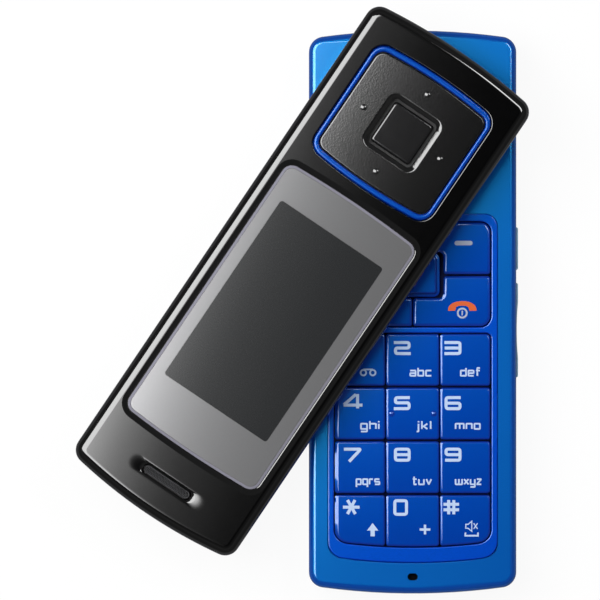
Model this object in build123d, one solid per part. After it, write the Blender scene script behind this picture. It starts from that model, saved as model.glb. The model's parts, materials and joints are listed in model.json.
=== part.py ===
from build123d import *
import math
import os

# A swivel telephone lying on its back: a base with the keypad, and a cover with the display that
# turns about an upright axis near one end of the base. X runs across the keys, Y towards the
# swivel end, Z up out of the keypad. The origin is the middle of the base's back face.
# All sizes are millimetres. The cover is built as it stands when closed, then turned by rest_swing.

# ---- driving dimensions: clearances ----
fixed_gap = 0.05          # between pieces of one body that are fixed to each other
sliding_gap = 0.1         # between flat faces that slide past each other
swivel_gap = 0.3          # between the base's front and the cover's back
overrun = 1.0             # how far a cut runs past the face that it opens

# ---- driving dimensions: base, outside ----
base_length = 86.9
base_width = 32.0
base_thickness = 11.0
base_end_radius = 103.0   # bow of both ends in plan
base_corner_radius = 2.4
base_edge_radius = 1.0    # rounding of the front and back edges
seam_chamfer = 0.12       # small bevel on both sides of each housing joint
base_wall = 1.0
base_front_wall = 1.1
base_back_wall = 1.2

# ---- driving dimensions: swivel ----
pivot_inset = 13.45       # from the base's swivel end to the axis
rest_swing = 34.0         # clockwise turn of the cover at rest, seen from the front
shaft_radius = 4.0
shaft_bore_radius = 2.7
shaft_running_gap = 0.05
hub_radius = 5.2
hub_hole_gap = 0.3
flange_radius = 7.5
flange_thickness = 0.7
stator_half_width = 10.0
stator_half_length = 8.5
stator_thickness = 0.8
spring_height = 0.6
spring_width = 1.0
washer_radius = 5.0
washer_thickness = 0.5
washer_ear_reach = 1.1
washer_ear_angle = 24.0
stop_ring_width = 0.8
stop_spare_angle = 1.5    # angle left between the ear and the stop at each end of the travel
lip_thickness = 0.3
lip_overhang = 0.3
stake_radius = 0.6
stake_circle = 6.4
flex_width = 3.5
flex_thickness = 0.3
flex_connector_width = 5.1
flex_connector_length = 2.4
flex_connector_height = 0.9

# ---- driving dimensions: keypad ----
panel_from_pivot = 14.8   # from the swivel axis to the top edge of the keypad panel
panel_end_margin = 4.75
panel_side_margin = 2.85
panel_end_radius = 87.0
panel_top_corner = 2.0
panel_low_corner = 2.3
panel_depth = 0.25        # how far the panel lies below the base's front
panel_flange = 0.6
panel_flange_thickness = 0.4
tab_half_width = 7.4
tab_length = 2.0
web_side = 1.0
web_top = 1.2
web_middle = 0.85
web_low = 2.35
upper_opening_length = 16.35
upper_corner = 1.7
numeric_top_corner = 0.9
numeric_low_corner = 2.0
key_border_gap = 0.15
key_column_gap = 0.12
key_row_gap = 0.25
middle_column_width = 8.35
last_row_trim = 0.3
key_height = 1.8
key_recess = 0.1
key_travel = 0.25
key_bevel_width = 0.45
key_bevel_depth = 0.3
pip_radius = 0.35
pip_height = 0.15
pip_spacing = 6.5
clear_key_half_width = 3.7
clear_key_length = 5.8
clear_skirt_width = 0.8
clear_skirt_drop = 0.6
call_key_length = 4.5
membrane_thickness = 0.6
plunger_height = 0.2
plunger_radius = 1.2
dome_radius = 2.2
dome_bump = 0.1
dome_sheet_thickness = 0.2

# ---- driving dimensions: base, inside ----
pcb_thickness = 0.8
pcb_corner = 1.0
pcb_side_margin = 2.4
pcb_end_margin = 4.45
pcb_from_pivot = 9.0
can_height = 1.3
can_spacing = 2.5
bay_floor_thickness = 0.6
bay_side_wall = 3.1
bay_end_margin = 5.2
bay_corner = 0.8
battery_side_gap = 0.2
battery_line_from_pivot = 20.1   # from the swivel axis to the battery cover's upper edge
battery_cover_thickness = 1.2
battery_cover_gap = 0.15
rail_stem = 0.4
rail_foot = 0.5
rail_foot_height = 0.5
rail_stem_height = 0.9
rail_outer_wall = 1.1
sim_socket_length = 8.0
sim_socket_thickness = 1.3
contact_block_depth = 1.6
contact_block_width = 9.0
blade_width = 0.8
blade_height = 0.64
screw_head_radius = 1.3
screw_slot_reach = 0.6    # half length of the cross slot, as a share of the head's radius
screw_slot_breadth = 0.13 # half width of the cross slot, as a share of the head's radius
screw_head_height = 0.8
screw_shank_radius = 0.7
screw_length = 7.8
boss_wall = 0.8
upper_screw_inset = 3.6
upper_screw_from_end = 4.25
lower_screw_inset = 5.5
lower_screw_from_end = 2.55
hinge_screw_inset = 2.0
hinge_screw_bite = 0.7
mic_hole_length = 1.6
mic_hole_width = 1.1
mic_from_end = 2.6
mic_width = 3.0
mic_depth = 1.9
mic_height = 1.3
speaker_width = 12.0
speaker_length = 9.0
speaker_height = 3.2
speaker_frame_height = 1.92
speaker_magnet_radius = 3.24
speaker_corner = 1.5
sound_hole_radius = 0.45
sound_hole_pitch = 1.6
motor_radius = 2.1
motor_length = 7.0
motor_weight_length = 2.4
motor_weight_radius = 2.0
motor_weight_gap = 0.4
motor_shaft_radius = 0.42
camera_size = 8.0
camera_height = 4.6
camera_lens_radius = 2.2
camera_aperture_radius = 1.3
camera_spacing = 1.0
camera_window_radius = 3.2
camera_window_thickness = 0.6
camera_window_recess = 0.25
camera_from_pivot = 7.2
antenna_length = 8.4
antenna_height = 5.4
antenna_wall = 0.8
strap_slot_width = 2.2
strap_slot_length = 1.4
strap_bar_width = 1.2
strap_tunnel_height = 1.5
strap_block_wall = 0.8
strap_from_pivot = 3.2

# ---- driving dimensions: side controls and port ----
side_key_width = 2.2
side_key_lift = 0.275     # of the keys' middle line above the board's
side_key_proud = 0.3
side_key_flange = 0.4
side_key_flange_thickness = 0.5
side_key_wall_gap = 0.38
side_key_end_gap = 0.15
camera_key_length = 6.6
camera_key_from_pivot = 20.2
volume_key_length = 14.6
volume_key_from_pivot = 32.8
volume_key_dip = 0.2
volume_key_dip_half = 4.38
side_recess_depth = 0.15
side_recess_margin = 0.35
side_switch_width = 0.85
port_width = 10.8
port_height = 1.95
port_depth = 5.2
port_shell = 0.3
port_tongue = 0.5
port_tongue_width = 8.1
port_tongue_setback = 1.0
port_from_pivot = 30.0
flap_length = 12.0
flap_height = 2.2
flap_thickness = 0.75

# ---- driving dimensions: cover, outside ----
cover_width = 29.5
cover_length = 85.75
cover_head = 12.35        # from the swivel axis to the cover's navigation end
cover_thickness = 8.0
cover_nav_end_radius = 100.0
cover_ear_end_radius = 80.0
cover_corner_radius = 2.3
cover_back_edge_radius = 0.5
cover_rear_depth = 2.9
cover_wall = 0.9
cover_front_wall = 2.0
cover_back_wall = 0.9
shoulder_round_width = 0.75
shoulder_round_drop = 1.0
shoulder_facet_width = 0.9
shoulder_facet_drop = 0.32

# ---- driving dimensions: navigation pad ----
nav_from_end = 15.4
nav_plate_half_width = 9.95
nav_plate_half_length = 9.3
nav_end_radius = 80.0
nav_plate_corner = 1.5
nav_ring_gap = 0.15
nav_ring_width = 0.75
nav_ring_end_extra = 0.2
nav_ring_flange = 0.5
nav_ring_flange_thickness = 0.45
nav_ring_recess = 0.2
nav_groove = 0.35
nav_recess = 0.35
nav_plate_thickness = 1.55
nav_tilt_room = 0.3
nav_pad_thickness = 0.5
nav_pad_inset = 0.9
nav_dot_radius = 0.42
nav_dot_height = 0.12
nav_dot_reach = 7.1
nav_dome_radius = 1.54
nav_well_half = 4.0
nav_well_bevel = 0.8
nav_well_corner = 0.8
ok_key_half = 3.6
ok_key_corner = 0.5
ok_key_recess = 0.65
ok_key_bevel = 0.3
ok_key_travel = 0.3
cover_pcb_thickness = 0.6
cover_pcb_corner = 0.8
cover_pcb_side_gap = 1.5
cover_pcb_end_margin = 5.2
cover_pcb_length = 22.4
post_size = 1.6

# ---- driving dimensions: display ----
window_from_end = 28.35
window_to_ear_end = 11.4
window_half_width = 12.0
window_end_radius = 160.0
window_corner = 1.7
window_recess = 0.2
window_thickness = 0.95
window_bevel_width = 0.45
window_bevel_drop = 0.2
window_groove_width = 0.95
window_groove_depth = 0.5
aperture_half_width = 10.4
aperture_top_margin = 4.9
aperture_low_margin = 7.1
aperture_corner = 0.4
module_overlap = 1.0
module_thickness = 2.3
bracket_thickness = 0.35
bracket_wall = 0.3
rib_thickness = 1.2

# ---- driving dimensions: earpiece ----
earpiece_from_end = 5.75
earpiece_half_length = 6.7
earpiece_half_width = 1.35
earpiece_depth = 0.9
earpiece_slot_half_length = 4.05
earpiece_slot_half_width = 0.6
earpiece_mesh_thickness = 0.3
receiver_half_length = 5.4
receiver_half_width = 2.2
receiver_height = 2.4

# ---- driving dimensions: cover screws ----
cover_screw_inset = 2.6
cover_screw_from_end = 3.4
cover_screw_head_radius = 1.05
cover_screw_head_height = 0.55
cover_screw_shank_radius = 0.5
cover_screw_length = 4.6
cover_boss_wall = 0.75

# ---- places worked out from the driving dimensions ----
base_half = base_width / 2
base_end = base_length / 2
base_ceiling = base_thickness - base_front_wall
pivot_y = base_end - pivot_inset

key_top = base_thickness - key_recess
key_low = key_top - key_height
membrane_high = key_low - key_travel - sliding_gap
membrane_low = membrane_high - membrane_thickness
dome_high = membrane_low - plunger_height
pcb_high = dome_high - dome_sheet_thickness
pcb_low = pcb_high - pcb_thickness
base_seam = pcb_low - fixed_gap - can_height
bay_ceiling = base_seam - bay_floor_thickness
rear_low = battery_cover_thickness + sliding_gap

panel_top = pivot_y - panel_from_pivot
panel_low = -base_end + panel_end_margin
panel_half = base_half - panel_side_margin
panel_face = base_thickness - panel_depth
panel_flange_low = base_ceiling - fixed_gap - panel_flange_thickness
opening_half = panel_half - web_side
upper_high = panel_top - web_top
upper_low = upper_high - upper_opening_length
numeric_high = upper_low - web_middle
numeric_low = panel_low + web_low

battery_line = pivot_y - battery_line_from_pivot
bay_high = battery_line - sliding_gap
bay_low = -base_end + bay_end_margin
bay_half = base_half - bay_side_wall
sim_high = bay_high - battery_side_gap
sim_low = sim_high - sim_socket_length
contact_high = sim_low - battery_side_gap
contact_low = contact_high - contact_block_depth

pcb_half = base_half - pcb_side_margin
pcb_end_low = -base_end + pcb_end_margin
pcb_end_high = pivot_y - pcb_from_pivot

stator_low = base_ceiling - stator_thickness
washer_high = stator_low - spring_height
washer_low = washer_high - washer_thickness
shaft_low = washer_low - lip_thickness
stop_ring_inner = washer_radius + sliding_gap * 3

cover_back = base_thickness + swivel_gap
cover_face = cover_back + cover_thickness
cover_ceiling = cover_face - cover_front_wall
cover_floor = cover_back + cover_back_wall
cover_seam = cover_back + cover_rear_depth
cover_half = cover_width / 2
cover_high = pivot_y + cover_head
cover_low = cover_high - cover_length

nav_y = cover_high - nav_from_end
nav_face = cover_face - nav_recess
nav_plate_low = nav_face - nav_plate_thickness
nav_pad_high = nav_plate_low - nav_tilt_room
nav_pad_low = nav_pad_high - nav_pad_thickness
nav_dome_high = nav_pad_low - nav_tilt_room
cover_pcb_high = nav_dome_high - dome_sheet_thickness
cover_pcb_low = cover_pcb_high - cover_pcb_thickness
cover_pcb_end = cover_high - cover_pcb_end_margin
cover_pcb_start = cover_pcb_end - cover_pcb_length

window_high = cover_high - window_from_end
window_low = cover_low + window_to_ear_end
window_face = cover_face - window_recess
window_seat = window_face - window_thickness
aperture_high = window_high - aperture_top_margin
aperture_low = window_low + aperture_low_margin
module_high_z = cover_ceiling - fixed_gap
module_low_z = module_high_z - module_thickness
bracket_low_z = module_low_z - fixed_gap - bracket_thickness

earpiece_y = cover_low + earpiece_from_end


# ---- shapes used by many pieces ----
def slab(face, low, high):
    """Plan shape raised from height low to height high."""
    return Pos(0, 0, low) * extrude(face, amount=high - low, dir=(0, 0, 1))


def block(x_range, y_range, z_range):
    """Box between two corners, each range a (low, high) pair."""
    size = [high - low for low, high in (x_range, y_range, z_range)]
    centre = [(high + low) / 2 for low, high in (x_range, y_range, z_range)]
    return Pos(*centre) * Box(*size)


def post(x, y, radius, low, high):
    """Upright cylinder."""
    return Pos(x, y, (low + high) / 2) * Cylinder(radius, high - low)


def rise(radius, half):
    """Height of an arc of this radius over a chord of twice half; a straight end has radius 0."""
    return radius - math.sqrt(radius**2 - half**2) if radius else 0.0


def end_edge(start, middle_y, stop, radius):
    """End of a plan shape: an arc through the crest, or a straight line."""
    return ThreePointArc(start, (0, middle_y), stop) if radius else Line(start, stop)


def outline(half, low, high, low_radius, high_radius, low_corner, high_corner):
    """Plan shape with straight sides, bowed or straight ends and round corners."""
    side_low = low + rise(low_radius, half)
    side_high = high - rise(high_radius, half)
    edges = [
        Line((-half, side_low), (-half, side_high)),
        end_edge((-half, side_high), high, (half, side_high), high_radius),
        Line((half, side_high), (half, side_low)),
        end_edge((half, side_low), low, (-half, side_low), low_radius),
    ]
    face = fillet(make_face(edges).vertices().sort_by(Axis.Y)[:2], low_corner)
    return fillet(face.vertices().sort_by(Axis.Y)[-2:], high_corner)


def oblong(half_length, half_width, x, y):
    """Flat shape with two straight sides along X and two half-round ends."""
    middle = Pos(x, y) * Rectangle(2 * (half_length - half_width), 2 * half_width)
    ends = [Pos(x + side * (half_length - half_width), y) * Circle(half_width) for side in (-1, 1)]
    return middle + ends[0] + ends[1]


def ring_sector(inner, outer, start, sweep, low, high):
    """Part of a flat ring about the swivel axis, turned from angle start through sweep degrees."""
    rays = [math.radians(start), math.radians(start + sweep)]
    ends = [[(r * math.cos(a), pivot_y + r * math.sin(a)) for r in (inner, outer)] for a in rays]
    edges = [
        CenterArc((0, pivot_y), inner, start, sweep),
        CenterArc((0, pivot_y), outer, start, sweep),
        Line(*ends[0]),
        Line(*ends[1]),
    ]
    return slab(make_face(edges), low, high)


def screw(x, y, low, head_radius, head_height, shank_radius, length):
    """Cross-head screw pointing up, with its head at height low."""
    body = post(x, y, head_radius, low, low + head_height)
    body += post(x, y, shank_radius, low + head_height, low + length)
    slot_half = head_radius * screw_slot_reach
    slot_width = head_radius * screw_slot_breadth
    depth = (low - overrun, low + head_height / 2)
    body -= block((x - slot_half, x + slot_half), (y - slot_width, y + slot_width), depth)
    return body - block((x - slot_width, x + slot_width), (y - slot_half, y + slot_half), depth)


def group(solids):
    """Several separate solids kept in one node."""
    return Compound(list(solids))


def base_plan(inset):
    """Base outline, moved inwards by inset."""
    bow = base_end_radius - inset
    corner = base_corner_radius - inset
    half = base_half - inset
    return outline(half, inset - base_end, base_end - inset, bow, bow, corner, corner)


def panel_plan(inset):
    """Keypad panel outline, moved inwards by inset, with the tab at its upper edge."""
    half = panel_half - inset
    bow = panel_end_radius - inset
    corners = (panel_low_corner - inset, panel_top_corner - inset)
    face = outline(half, panel_low + inset, panel_top - inset, bow, 0, *corners)
    tab_half = tab_half_width - inset
    middle = (panel_top + tab_length) / 2 + (panel_top - panel_top_corner) / 2 - inset
    tab = Rectangle(2 * tab_half, tab_length + panel_top_corner)
    return face + Pos(0, middle) * tab


def upper_plan(inset):
    """Outline of the opening for the call, clear and soft keys, moved inwards by inset."""
    half = opening_half - inset
    corner = upper_corner - inset
    return outline(half, upper_low + inset, upper_high - inset, 0, 0, corner, corner)


def numeric_plan(inset):
    """Outline of the opening for the twelve numeric keys, moved inwards by inset."""
    half = opening_half - inset
    corners = (numeric_low_corner - inset, numeric_top_corner - inset)
    bow = panel_end_radius - inset
    return outline(half, numeric_low + inset, numeric_high - inset, bow, 0, *corners)


# ---- screw places in the base ----
upper_screw_x = base_half - upper_screw_inset
upper_screw_y = base_end - upper_screw_from_end
lower_screw_x = base_half - lower_screw_inset
lower_screw_y = -base_end + lower_screw_from_end
screw_hole = screw_shank_radius + fixed_gap
boss_radius = screw_shank_radius + boss_wall
upper_screws = [(side * upper_screw_x, upper_screw_y) for side in (-1, 1)]
lower_screws = [(side * lower_screw_x, lower_screw_y) for side in (-1, 1)]
hinge_screw_x = stator_half_width - hinge_screw_inset
hinge_screw_reach = stator_half_length - hinge_screw_inset
hinge_screws = [
    (side * hinge_screw_x, pivot_y + end * hinge_screw_reach) for side in (-1, 1) for end in (-1, 1)
]

# ---- side controls: places shared by the housing, the keys and their switches ----
side_key_z = (pcb_low + pcb_high) / 2 + side_key_lift
side_key_low = side_key_z - side_key_width / 2
side_key_high = side_key_z + side_key_width / 2
side_key_inner = base_half - base_wall - side_key_wall_gap
camera_key_y = pivot_y - camera_key_from_pivot
volume_key_y = pivot_y - volume_key_from_pivot
port_y = pivot_y - port_from_pivot
port_high = pcb_high - fixed_gap
port_low = port_high - port_height
port_start = port_y - port_width / 2
port_stop = port_y + port_width / 2
port_face = -(base_half - flap_thickness - sliding_gap)
flap_low = base_seam + sliding_gap
flap_high = flap_low + flap_height
flap_end_radius = flap_thickness / 2


def side_key_hole(y, length):
    """Hole in the base's right wall for one side key, with the shallow dish round it."""
    half = length / 2 + side_key_end_gap
    z_range = (side_key_low - side_key_end_gap, side_key_high + side_key_end_gap)
    hole = block((base_half - 2 * base_wall, base_half + base_wall), (y - half, y + half), z_range)
    dish_half = length / 2 + side_recess_margin
    dish_x = (base_half - side_recess_depth, base_half + base_wall)
    dish_z = (z_range[0] - side_recess_margin, z_range[1] + side_recess_margin)
    return hole + block(dish_x, (y - dish_half, y + dish_half), dish_z)


def base_front_housing():
    """Front shell of the base: face, walls, screw bosses and the holes for keys, port and swivel."""
    shell = slab(base_plan(0), base_seam, base_thickness)
    shell = fillet(shell.edges().group_by(Axis.Z)[-1], base_edge_radius)
    shell = chamfer(shell.edges().group_by(Axis.Z)[0], seam_chamfer)
    shell -= slab(base_plan(base_wall), base_seam, base_ceiling)
    for x, y in upper_screws + lower_screws:
        shell += post(x, y, boss_radius, base_seam + fixed_gap, base_ceiling) & slab(
            base_plan(base_wall / 2), base_seam, base_thickness
        )
    for x, y in upper_screws + lower_screws:
        shell -= post(x, y, screw_hole, base_seam, base_ceiling - fixed_gap)
    for x, y in hinge_screws:
        shell -= post(x, y, screw_hole, base_ceiling, base_ceiling + hinge_screw_bite)
    shell -= slab(panel_plan(0), base_ceiling - fixed_gap, base_thickness + overrun)
    shell -= post(0, pivot_y, hub_radius + hub_hole_gap, base_ceiling, base_thickness + overrun)
    mic_y = -base_end + mic_from_end
    mic_hole = oblong(mic_hole_length / 2, mic_hole_width / 2, 0, mic_y)
    shell -= slab(mic_hole, base_ceiling, base_thickness + overrun)
    shell -= side_key_hole(camera_key_y, camera_key_length)
    shell -= side_key_hole(volume_key_y, volume_key_length)
    port_hole_y = (port_start - fixed_gap, port_stop + fixed_gap)
    port_hole_z = (base_seam - overrun, port_high + fixed_gap)
    port_hole_x = (-base_half - overrun, -base_half + 2 * base_wall)
    shell -= block(port_hole_x, port_hole_y, port_hole_z)
    flap_half = flap_length / 2 + side_key_end_gap
    flap_x = (-base_half - overrun, -base_half + flap_thickness + sliding_gap)
    flap_z = (base_seam - overrun, flap_high + sliding_gap)
    return shell - block(flap_x, (port_y - flap_half, port_y + flap_half), flap_z)


def rail_shape(y_range, gap):
    """Upright stem with a foot turned outwards, along both sides of the battery cover."""
    outer = base_half - rail_outer_wall
    stem = (outer - rail_foot - rail_stem - gap, outer - rail_foot + gap)
    foot = (outer - rail_foot - rail_stem - gap, outer + gap)
    low = battery_cover_thickness
    high = low + rail_stem_height + rail_foot_height
    rails = []
    for side in (-1, 1):
        stem_x = tuple(sorted(side * x for x in stem))
        foot_x = tuple(sorted(side * x for x in foot))
        rails.append(block(stem_x, y_range, (low, high + gap)))
        rails.append(block(foot_x, y_range, (high - rail_foot_height - gap, high + gap)))
    return rails


def strap_parts():
    """Block inside the back wall, and the two slots with the tunnel behind their bar."""
    wall = strap_block_wall
    left = -base_half + base_wall + wall
    right = left + strap_slot_width
    middle = pivot_y - strap_from_pivot
    reach = strap_bar_width / 2 + strap_slot_length
    top = base_back_wall + strap_tunnel_height
    body_x = (left - wall - base_wall / 2, right + wall)
    body_y = (middle - reach - wall, middle + reach + wall)
    body = block(body_x, body_y, (base_back_wall / 2, top + wall))
    tunnel = block((left, right), (middle - reach, middle + reach), (base_back_wall, top))
    for side in (-1, 1):
        near = middle + side * strap_bar_width / 2
        far = middle + side * reach
        slot_y = tuple(sorted((near, far)))
        tunnel += block((left, right), slot_y, (-overrun, base_back_wall + fixed_gap))
    return body, tunnel


def base_rear_housing():
    """Back shell of the base: fixed back at the swivel end, battery bay with rail grooves below."""
    shell = slab(base_plan(0), 0, base_seam)
    shell = fillet(shell.edges().group_by(Axis.Z)[0], base_edge_radius)
    shell = chamfer(shell.edges().group_by(Axis.Z)[-1], seam_chamfer)
    wide = (-base_width, base_width)
    below = (-base_length, battery_line)
    shell -= block(wide, below, (-overrun, rear_low))
    upper_room = block(wide, (battery_line + base_wall, base_length), (0, base_thickness))
    shell -= slab(base_plan(base_wall), base_back_wall, base_seam) & upper_room
    bay_middle = (bay_high + bay_low) / 2
    bay = Pos(0, bay_middle) * RectangleRounded(2 * bay_half, bay_high - bay_low, bay_corner)
    shell -= slab(bay, 0, bay_ceiling)
    core_y = (-base_end + 2 * base_wall, bay_low - base_wall)
    core_half = lower_screw_x - 2 * boss_radius
    shell -= block((-core_half, core_half), core_y, (rear_low + base_wall, base_seam))
    groove_y = (-base_length, battery_line - base_wall)
    for groove in rail_shape(groove_y, sliding_gap):
        shell -= groove
    for x, y in upper_screws:
        shell += post(x, y, screw_head_radius + boss_wall, 0, base_seam)
        head_seat = screw_head_height + sliding_gap
        shell -= post(x, y, screw_head_radius + sliding_gap, -overrun, head_seat)
        shell -= post(x, y, screw_hole, 0, base_seam)
    for x, y in lower_screws:
        seat = rear_low + screw_head_height + sliding_gap
        shell -= post(x, y, screw_head_radius + sliding_gap, 0, seat)
        shell -= post(x, y, screw_hole, 0, base_seam)
    camera_hole = camera_window_thickness + camera_window_recess
    shell -= post(camera_x, camera_y, camera_window_radius + fixed_gap, -overrun, camera_hole)
    shell -= post(camera_x, camera_y, camera_lens_radius + sliding_gap, -overrun, base_back_wall)
    for x, y in sound_holes():
        shell -= post(x, y, sound_hole_radius, -overrun, base_back_wall)
    strap_block, strap_tunnel = strap_parts()
    return (shell + strap_block) - strap_tunnel


def battery_cover():
    """Sliding back cover over the battery, with a rail along each side."""
    plate = slab(base_plan(0), 0, base_seam)
    plate = fillet(plate.edges().group_by(Axis.Z)[0], base_edge_radius)
    edge = battery_line - battery_cover_gap
    plate &= block((-base_width, base_width), (-base_length, edge), (0, battery_cover_thickness))
    for rail in rail_shape((bay_low, battery_line - 2 * base_wall), 0):
        plate += rail
    return plate


# ---- pieces in the base behind the swivel ----
upper_boss_inner = upper_screw_x - screw_head_radius - boss_wall
camera_x = sliding_gap - upper_boss_inner + camera_size / 2 + camera_spacing
camera_y = pivot_y + camera_from_pivot
speaker_x = bay_half - speaker_width / 2
speaker_y = battery_line + 2 * base_wall + speaker_length / 2
motor_y = battery_line + 2 * base_wall + motor_radius


def sound_holes():
    """Centres of the holes in the back wall in front of the loudspeaker."""
    steps = [-2, -1, 0, 1, 2]
    spots = [(column, row) for column in steps for row in (-1, 0, 1) if abs(column) + abs(row) < 3]
    pitch = sound_hole_pitch
    return [(speaker_x + column * pitch, speaker_y + row * pitch) for column, row in spots]


def loudspeaker():
    """Rear loudspeaker with a stepped magnet."""
    low = base_back_wall + sliding_gap
    frame = Pos(speaker_x, speaker_y) * RectangleRounded(speaker_width, speaker_length, speaker_corner)
    body = slab(frame, low, low + speaker_frame_height)
    return body + post(speaker_x, speaker_y, speaker_magnet_radius, low, low + speaker_height)


def vibration_motor():
    """Small motor on its side with its eccentric weight on the shaft."""
    axis_z = base_back_wall + sliding_gap + motor_radius
    start = -bay_half
    can = Pos(start + motor_length / 2, motor_y, axis_z) * Rot(0, 90, 0)
    body = can * Cylinder(motor_radius, motor_length)
    weight_middle = start + motor_length + motor_weight_gap + motor_weight_length / 2
    shaft_length = motor_weight_length + 2 * motor_weight_gap
    shaft = Pos(start + motor_length + shaft_length / 2, motor_y, axis_z) * Rot(0, 90, 0)
    body += shaft * Cylinder(motor_shaft_radius, shaft_length)
    weight = Pos(weight_middle, motor_y, axis_z) * Rot(0, 90, 0)
    disc = weight * Cylinder(motor_weight_radius, motor_weight_length)
    half = block((-base_half, base_half), (motor_y - motor_radius, motor_y + motor_radius),
                 (axis_z - motor_shaft_radius, axis_z + motor_radius))
    return body + (disc & half)


def camera_module():
    """Camera block with its lens barrel pointing out of the back."""
    low = base_back_wall + sliding_gap
    half = camera_size / 2
    body = block((camera_x - half, camera_x + half), (camera_y - half, camera_y + half),
                 (low, low + camera_height))
    barrel_low = camera_window_thickness + camera_window_recess + fixed_gap
    barrel = post(camera_x, camera_y, camera_lens_radius, barrel_low, low)
    return body + barrel - post(camera_x, camera_y, camera_aperture_radius, 0, low)


def camera_window():
    """Clear disc in front of the camera, a little below the back face."""
    low = camera_window_recess
    return post(camera_x, camera_y, camera_window_radius, low, low + camera_window_thickness)


def antenna():
    """Hollow plastic carrier that holds the antenna foil."""
    left = camera_x + camera_size / 2 + camera_spacing
    right = upper_boss_inner - 4 * sliding_gap
    middle = pivot_y + camera_from_pivot
    y_range = (middle - antenna_length / 2, middle + antenna_length / 2)
    low = base_back_wall + sliding_gap
    body = block((left, right), y_range, (low, low + antenna_height))
    wall = antenna_wall
    room_y = (y_range[0] + wall, y_range[1] - wall)
    return body - block((left + wall, right - wall), room_y, (0, low + antenna_height - wall))


# ---- battery bay ----
def battery():
    """Lithium battery, filling the bay from its lower end."""
    half = bay_half - battery_side_gap
    low = bay_low + battery_side_gap
    high = contact_low - battery_side_gap
    plan = Pos(0, (low + high) / 2) * RectangleRounded(2 * half, high - low, bay_corner)
    return slab(plan, rear_low, bay_ceiling - sliding_gap)


def battery_connector():
    """Contact block with three spring blades that meet the battery."""
    half = contact_block_width / 2
    top = bay_ceiling - fixed_gap
    body = block((-half, half), (contact_low, contact_high), (top - contact_block_depth, top))
    middle = top - contact_block_depth / 2
    blade_z = (middle - blade_height / 2, middle + blade_height / 2)
    for x in (-half / 2, 0, half / 2):
        blade_x = (x - blade_width / 2, x + blade_width / 2)
        body += block(blade_x, (contact_low - battery_side_gap, contact_low), blade_z)
    return body


def sim_socket():
    """Metal frame that holds the subscriber card against six contacts."""
    half = bay_half - battery_side_gap
    high = bay_ceiling - fixed_gap
    body = block((-half, half), (sim_low, sim_high), (high - sim_socket_thickness, high))
    wall = sim_socket_thickness / 3
    card_x = (-half + 3 * wall, half - 3 * wall)
    return body - block(card_x, (sim_low - overrun, sim_high - wall * 2), (0, high - 2 * wall))


# ---- circuit board ----
def main_pcb():
    """Main circuit board with the side switches soldered on its right edge."""
    middle = (pcb_end_low + pcb_end_high) / 2
    length = pcb_end_high - pcb_end_low
    plan = Pos(0, middle) * RectangleRounded(2 * pcb_half, length, pcb_corner)
    board = slab(plan, pcb_low, pcb_high)
    notch = (port_start - sliding_gap, port_stop + sliding_gap)
    notch_x = (-base_width, port_face + port_depth + sliding_gap)
    board -= block(notch_x, notch, (pcb_low - overrun, pcb_high + overrun))
    switch_x = (pcb_half - side_switch_width, pcb_half)
    reach = volume_key_length / 2 - side_switch_width
    for y in (camera_key_y, volume_key_y - reach, volume_key_y + reach):
        switch_y = (y - side_switch_width, y + side_switch_width)
        board += block(switch_x, switch_y, (pcb_high, pcb_high + side_switch_width))
    flex_half = flex_connector_width / 2
    block_y = (pcb_end_high - flex_connector_length, pcb_end_high - sliding_gap)
    block_high = flex_low_top - flex_thickness / 2 - fixed_gap
    board += block((-flex_half, flex_half), block_y, (pcb_high, block_high))
    return board


def shield_cans():
    """Three sheet-metal cans under the board."""
    half = pcb_half - can_spacing
    low = base_seam + fixed_gap
    left_middle = port_face + port_depth + 3 * sliding_gap
    split = port_start - can_spacing
    top_low = bay_high + 2 * base_wall
    cans = [
        block((-half, half), (pcb_end_low + can_spacing, split), (low, pcb_low)),
        block((left_middle, half), (split + base_wall, bay_high), (low, pcb_low)),
        block((-half, half), (top_low, pcb_end_high - base_wall), (low, pcb_low)),
    ]
    return group(cans)


def microphone():
    """Microphone under its hole at the keypad end."""
    y = -base_end + mic_from_end
    high = base_ceiling - fixed_gap
    half_x = mic_width / 2
    half_y = mic_depth / 2
    return block((-half_x, half_x), (y - half_y, y + half_y), (high - mic_height, high))


def io_connector():
    """Flat socket for the charger and data plug, with a contact tongue inside."""
    outer_x = (port_face, port_face + port_depth)
    body = block(outer_x, (port_start, port_stop), (port_low, port_high))
    room_x = (port_face - overrun, port_face + port_depth - 2 * port_shell)
    room_y = (port_start + port_shell, port_stop - port_shell)
    room_z = (port_low + port_shell, port_high - port_shell)
    body -= block(room_x, room_y, room_z)
    middle = (port_low + port_high) / 2
    tongue_y = (port_y - port_tongue_width / 2, port_y + port_tongue_width / 2)
    tongue_z = (middle - port_tongue / 2, middle + port_tongue / 2)
    return body + block((port_face + port_tongue_setback, room_x[1]), tongue_y, tongue_z)


def port_cover():
    """Flap over the socket, turning about an upright axis at its swivel end."""
    half = flap_length / 2
    x_range = (-base_half, -base_half + flap_thickness)
    pivot_flap_y = port_y + half - flap_end_radius
    flap = block(x_range, (port_y - half, pivot_flap_y), (flap_low, flap_high))
    return flap + post(-base_half + flap_end_radius, pivot_flap_y, flap_end_radius, flap_low, flap_high)


def side_key(y, length):
    """Key standing out of the base's right wall, with a flange behind the wall."""
    half = length / 2
    outer = base_half + side_key_proud
    key_x = (side_key_inner, outer)
    key = block(key_x, (y - half, y + half), (side_key_low, side_key_high))
    ends = key.edges().filter_by(Axis.Z).group_by(Axis.X)[-1]
    key = fillet(ends, side_key_proud)
    flange_x = (side_key_inner - side_key_flange_thickness, side_key_inner)
    flange_y = (y - half - side_key_flange, y + half + side_key_flange)
    flange_z = (side_key_low - side_key_flange, side_key_high + side_key_flange)
    return key + block(flange_x, flange_y, flange_z)


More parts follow.
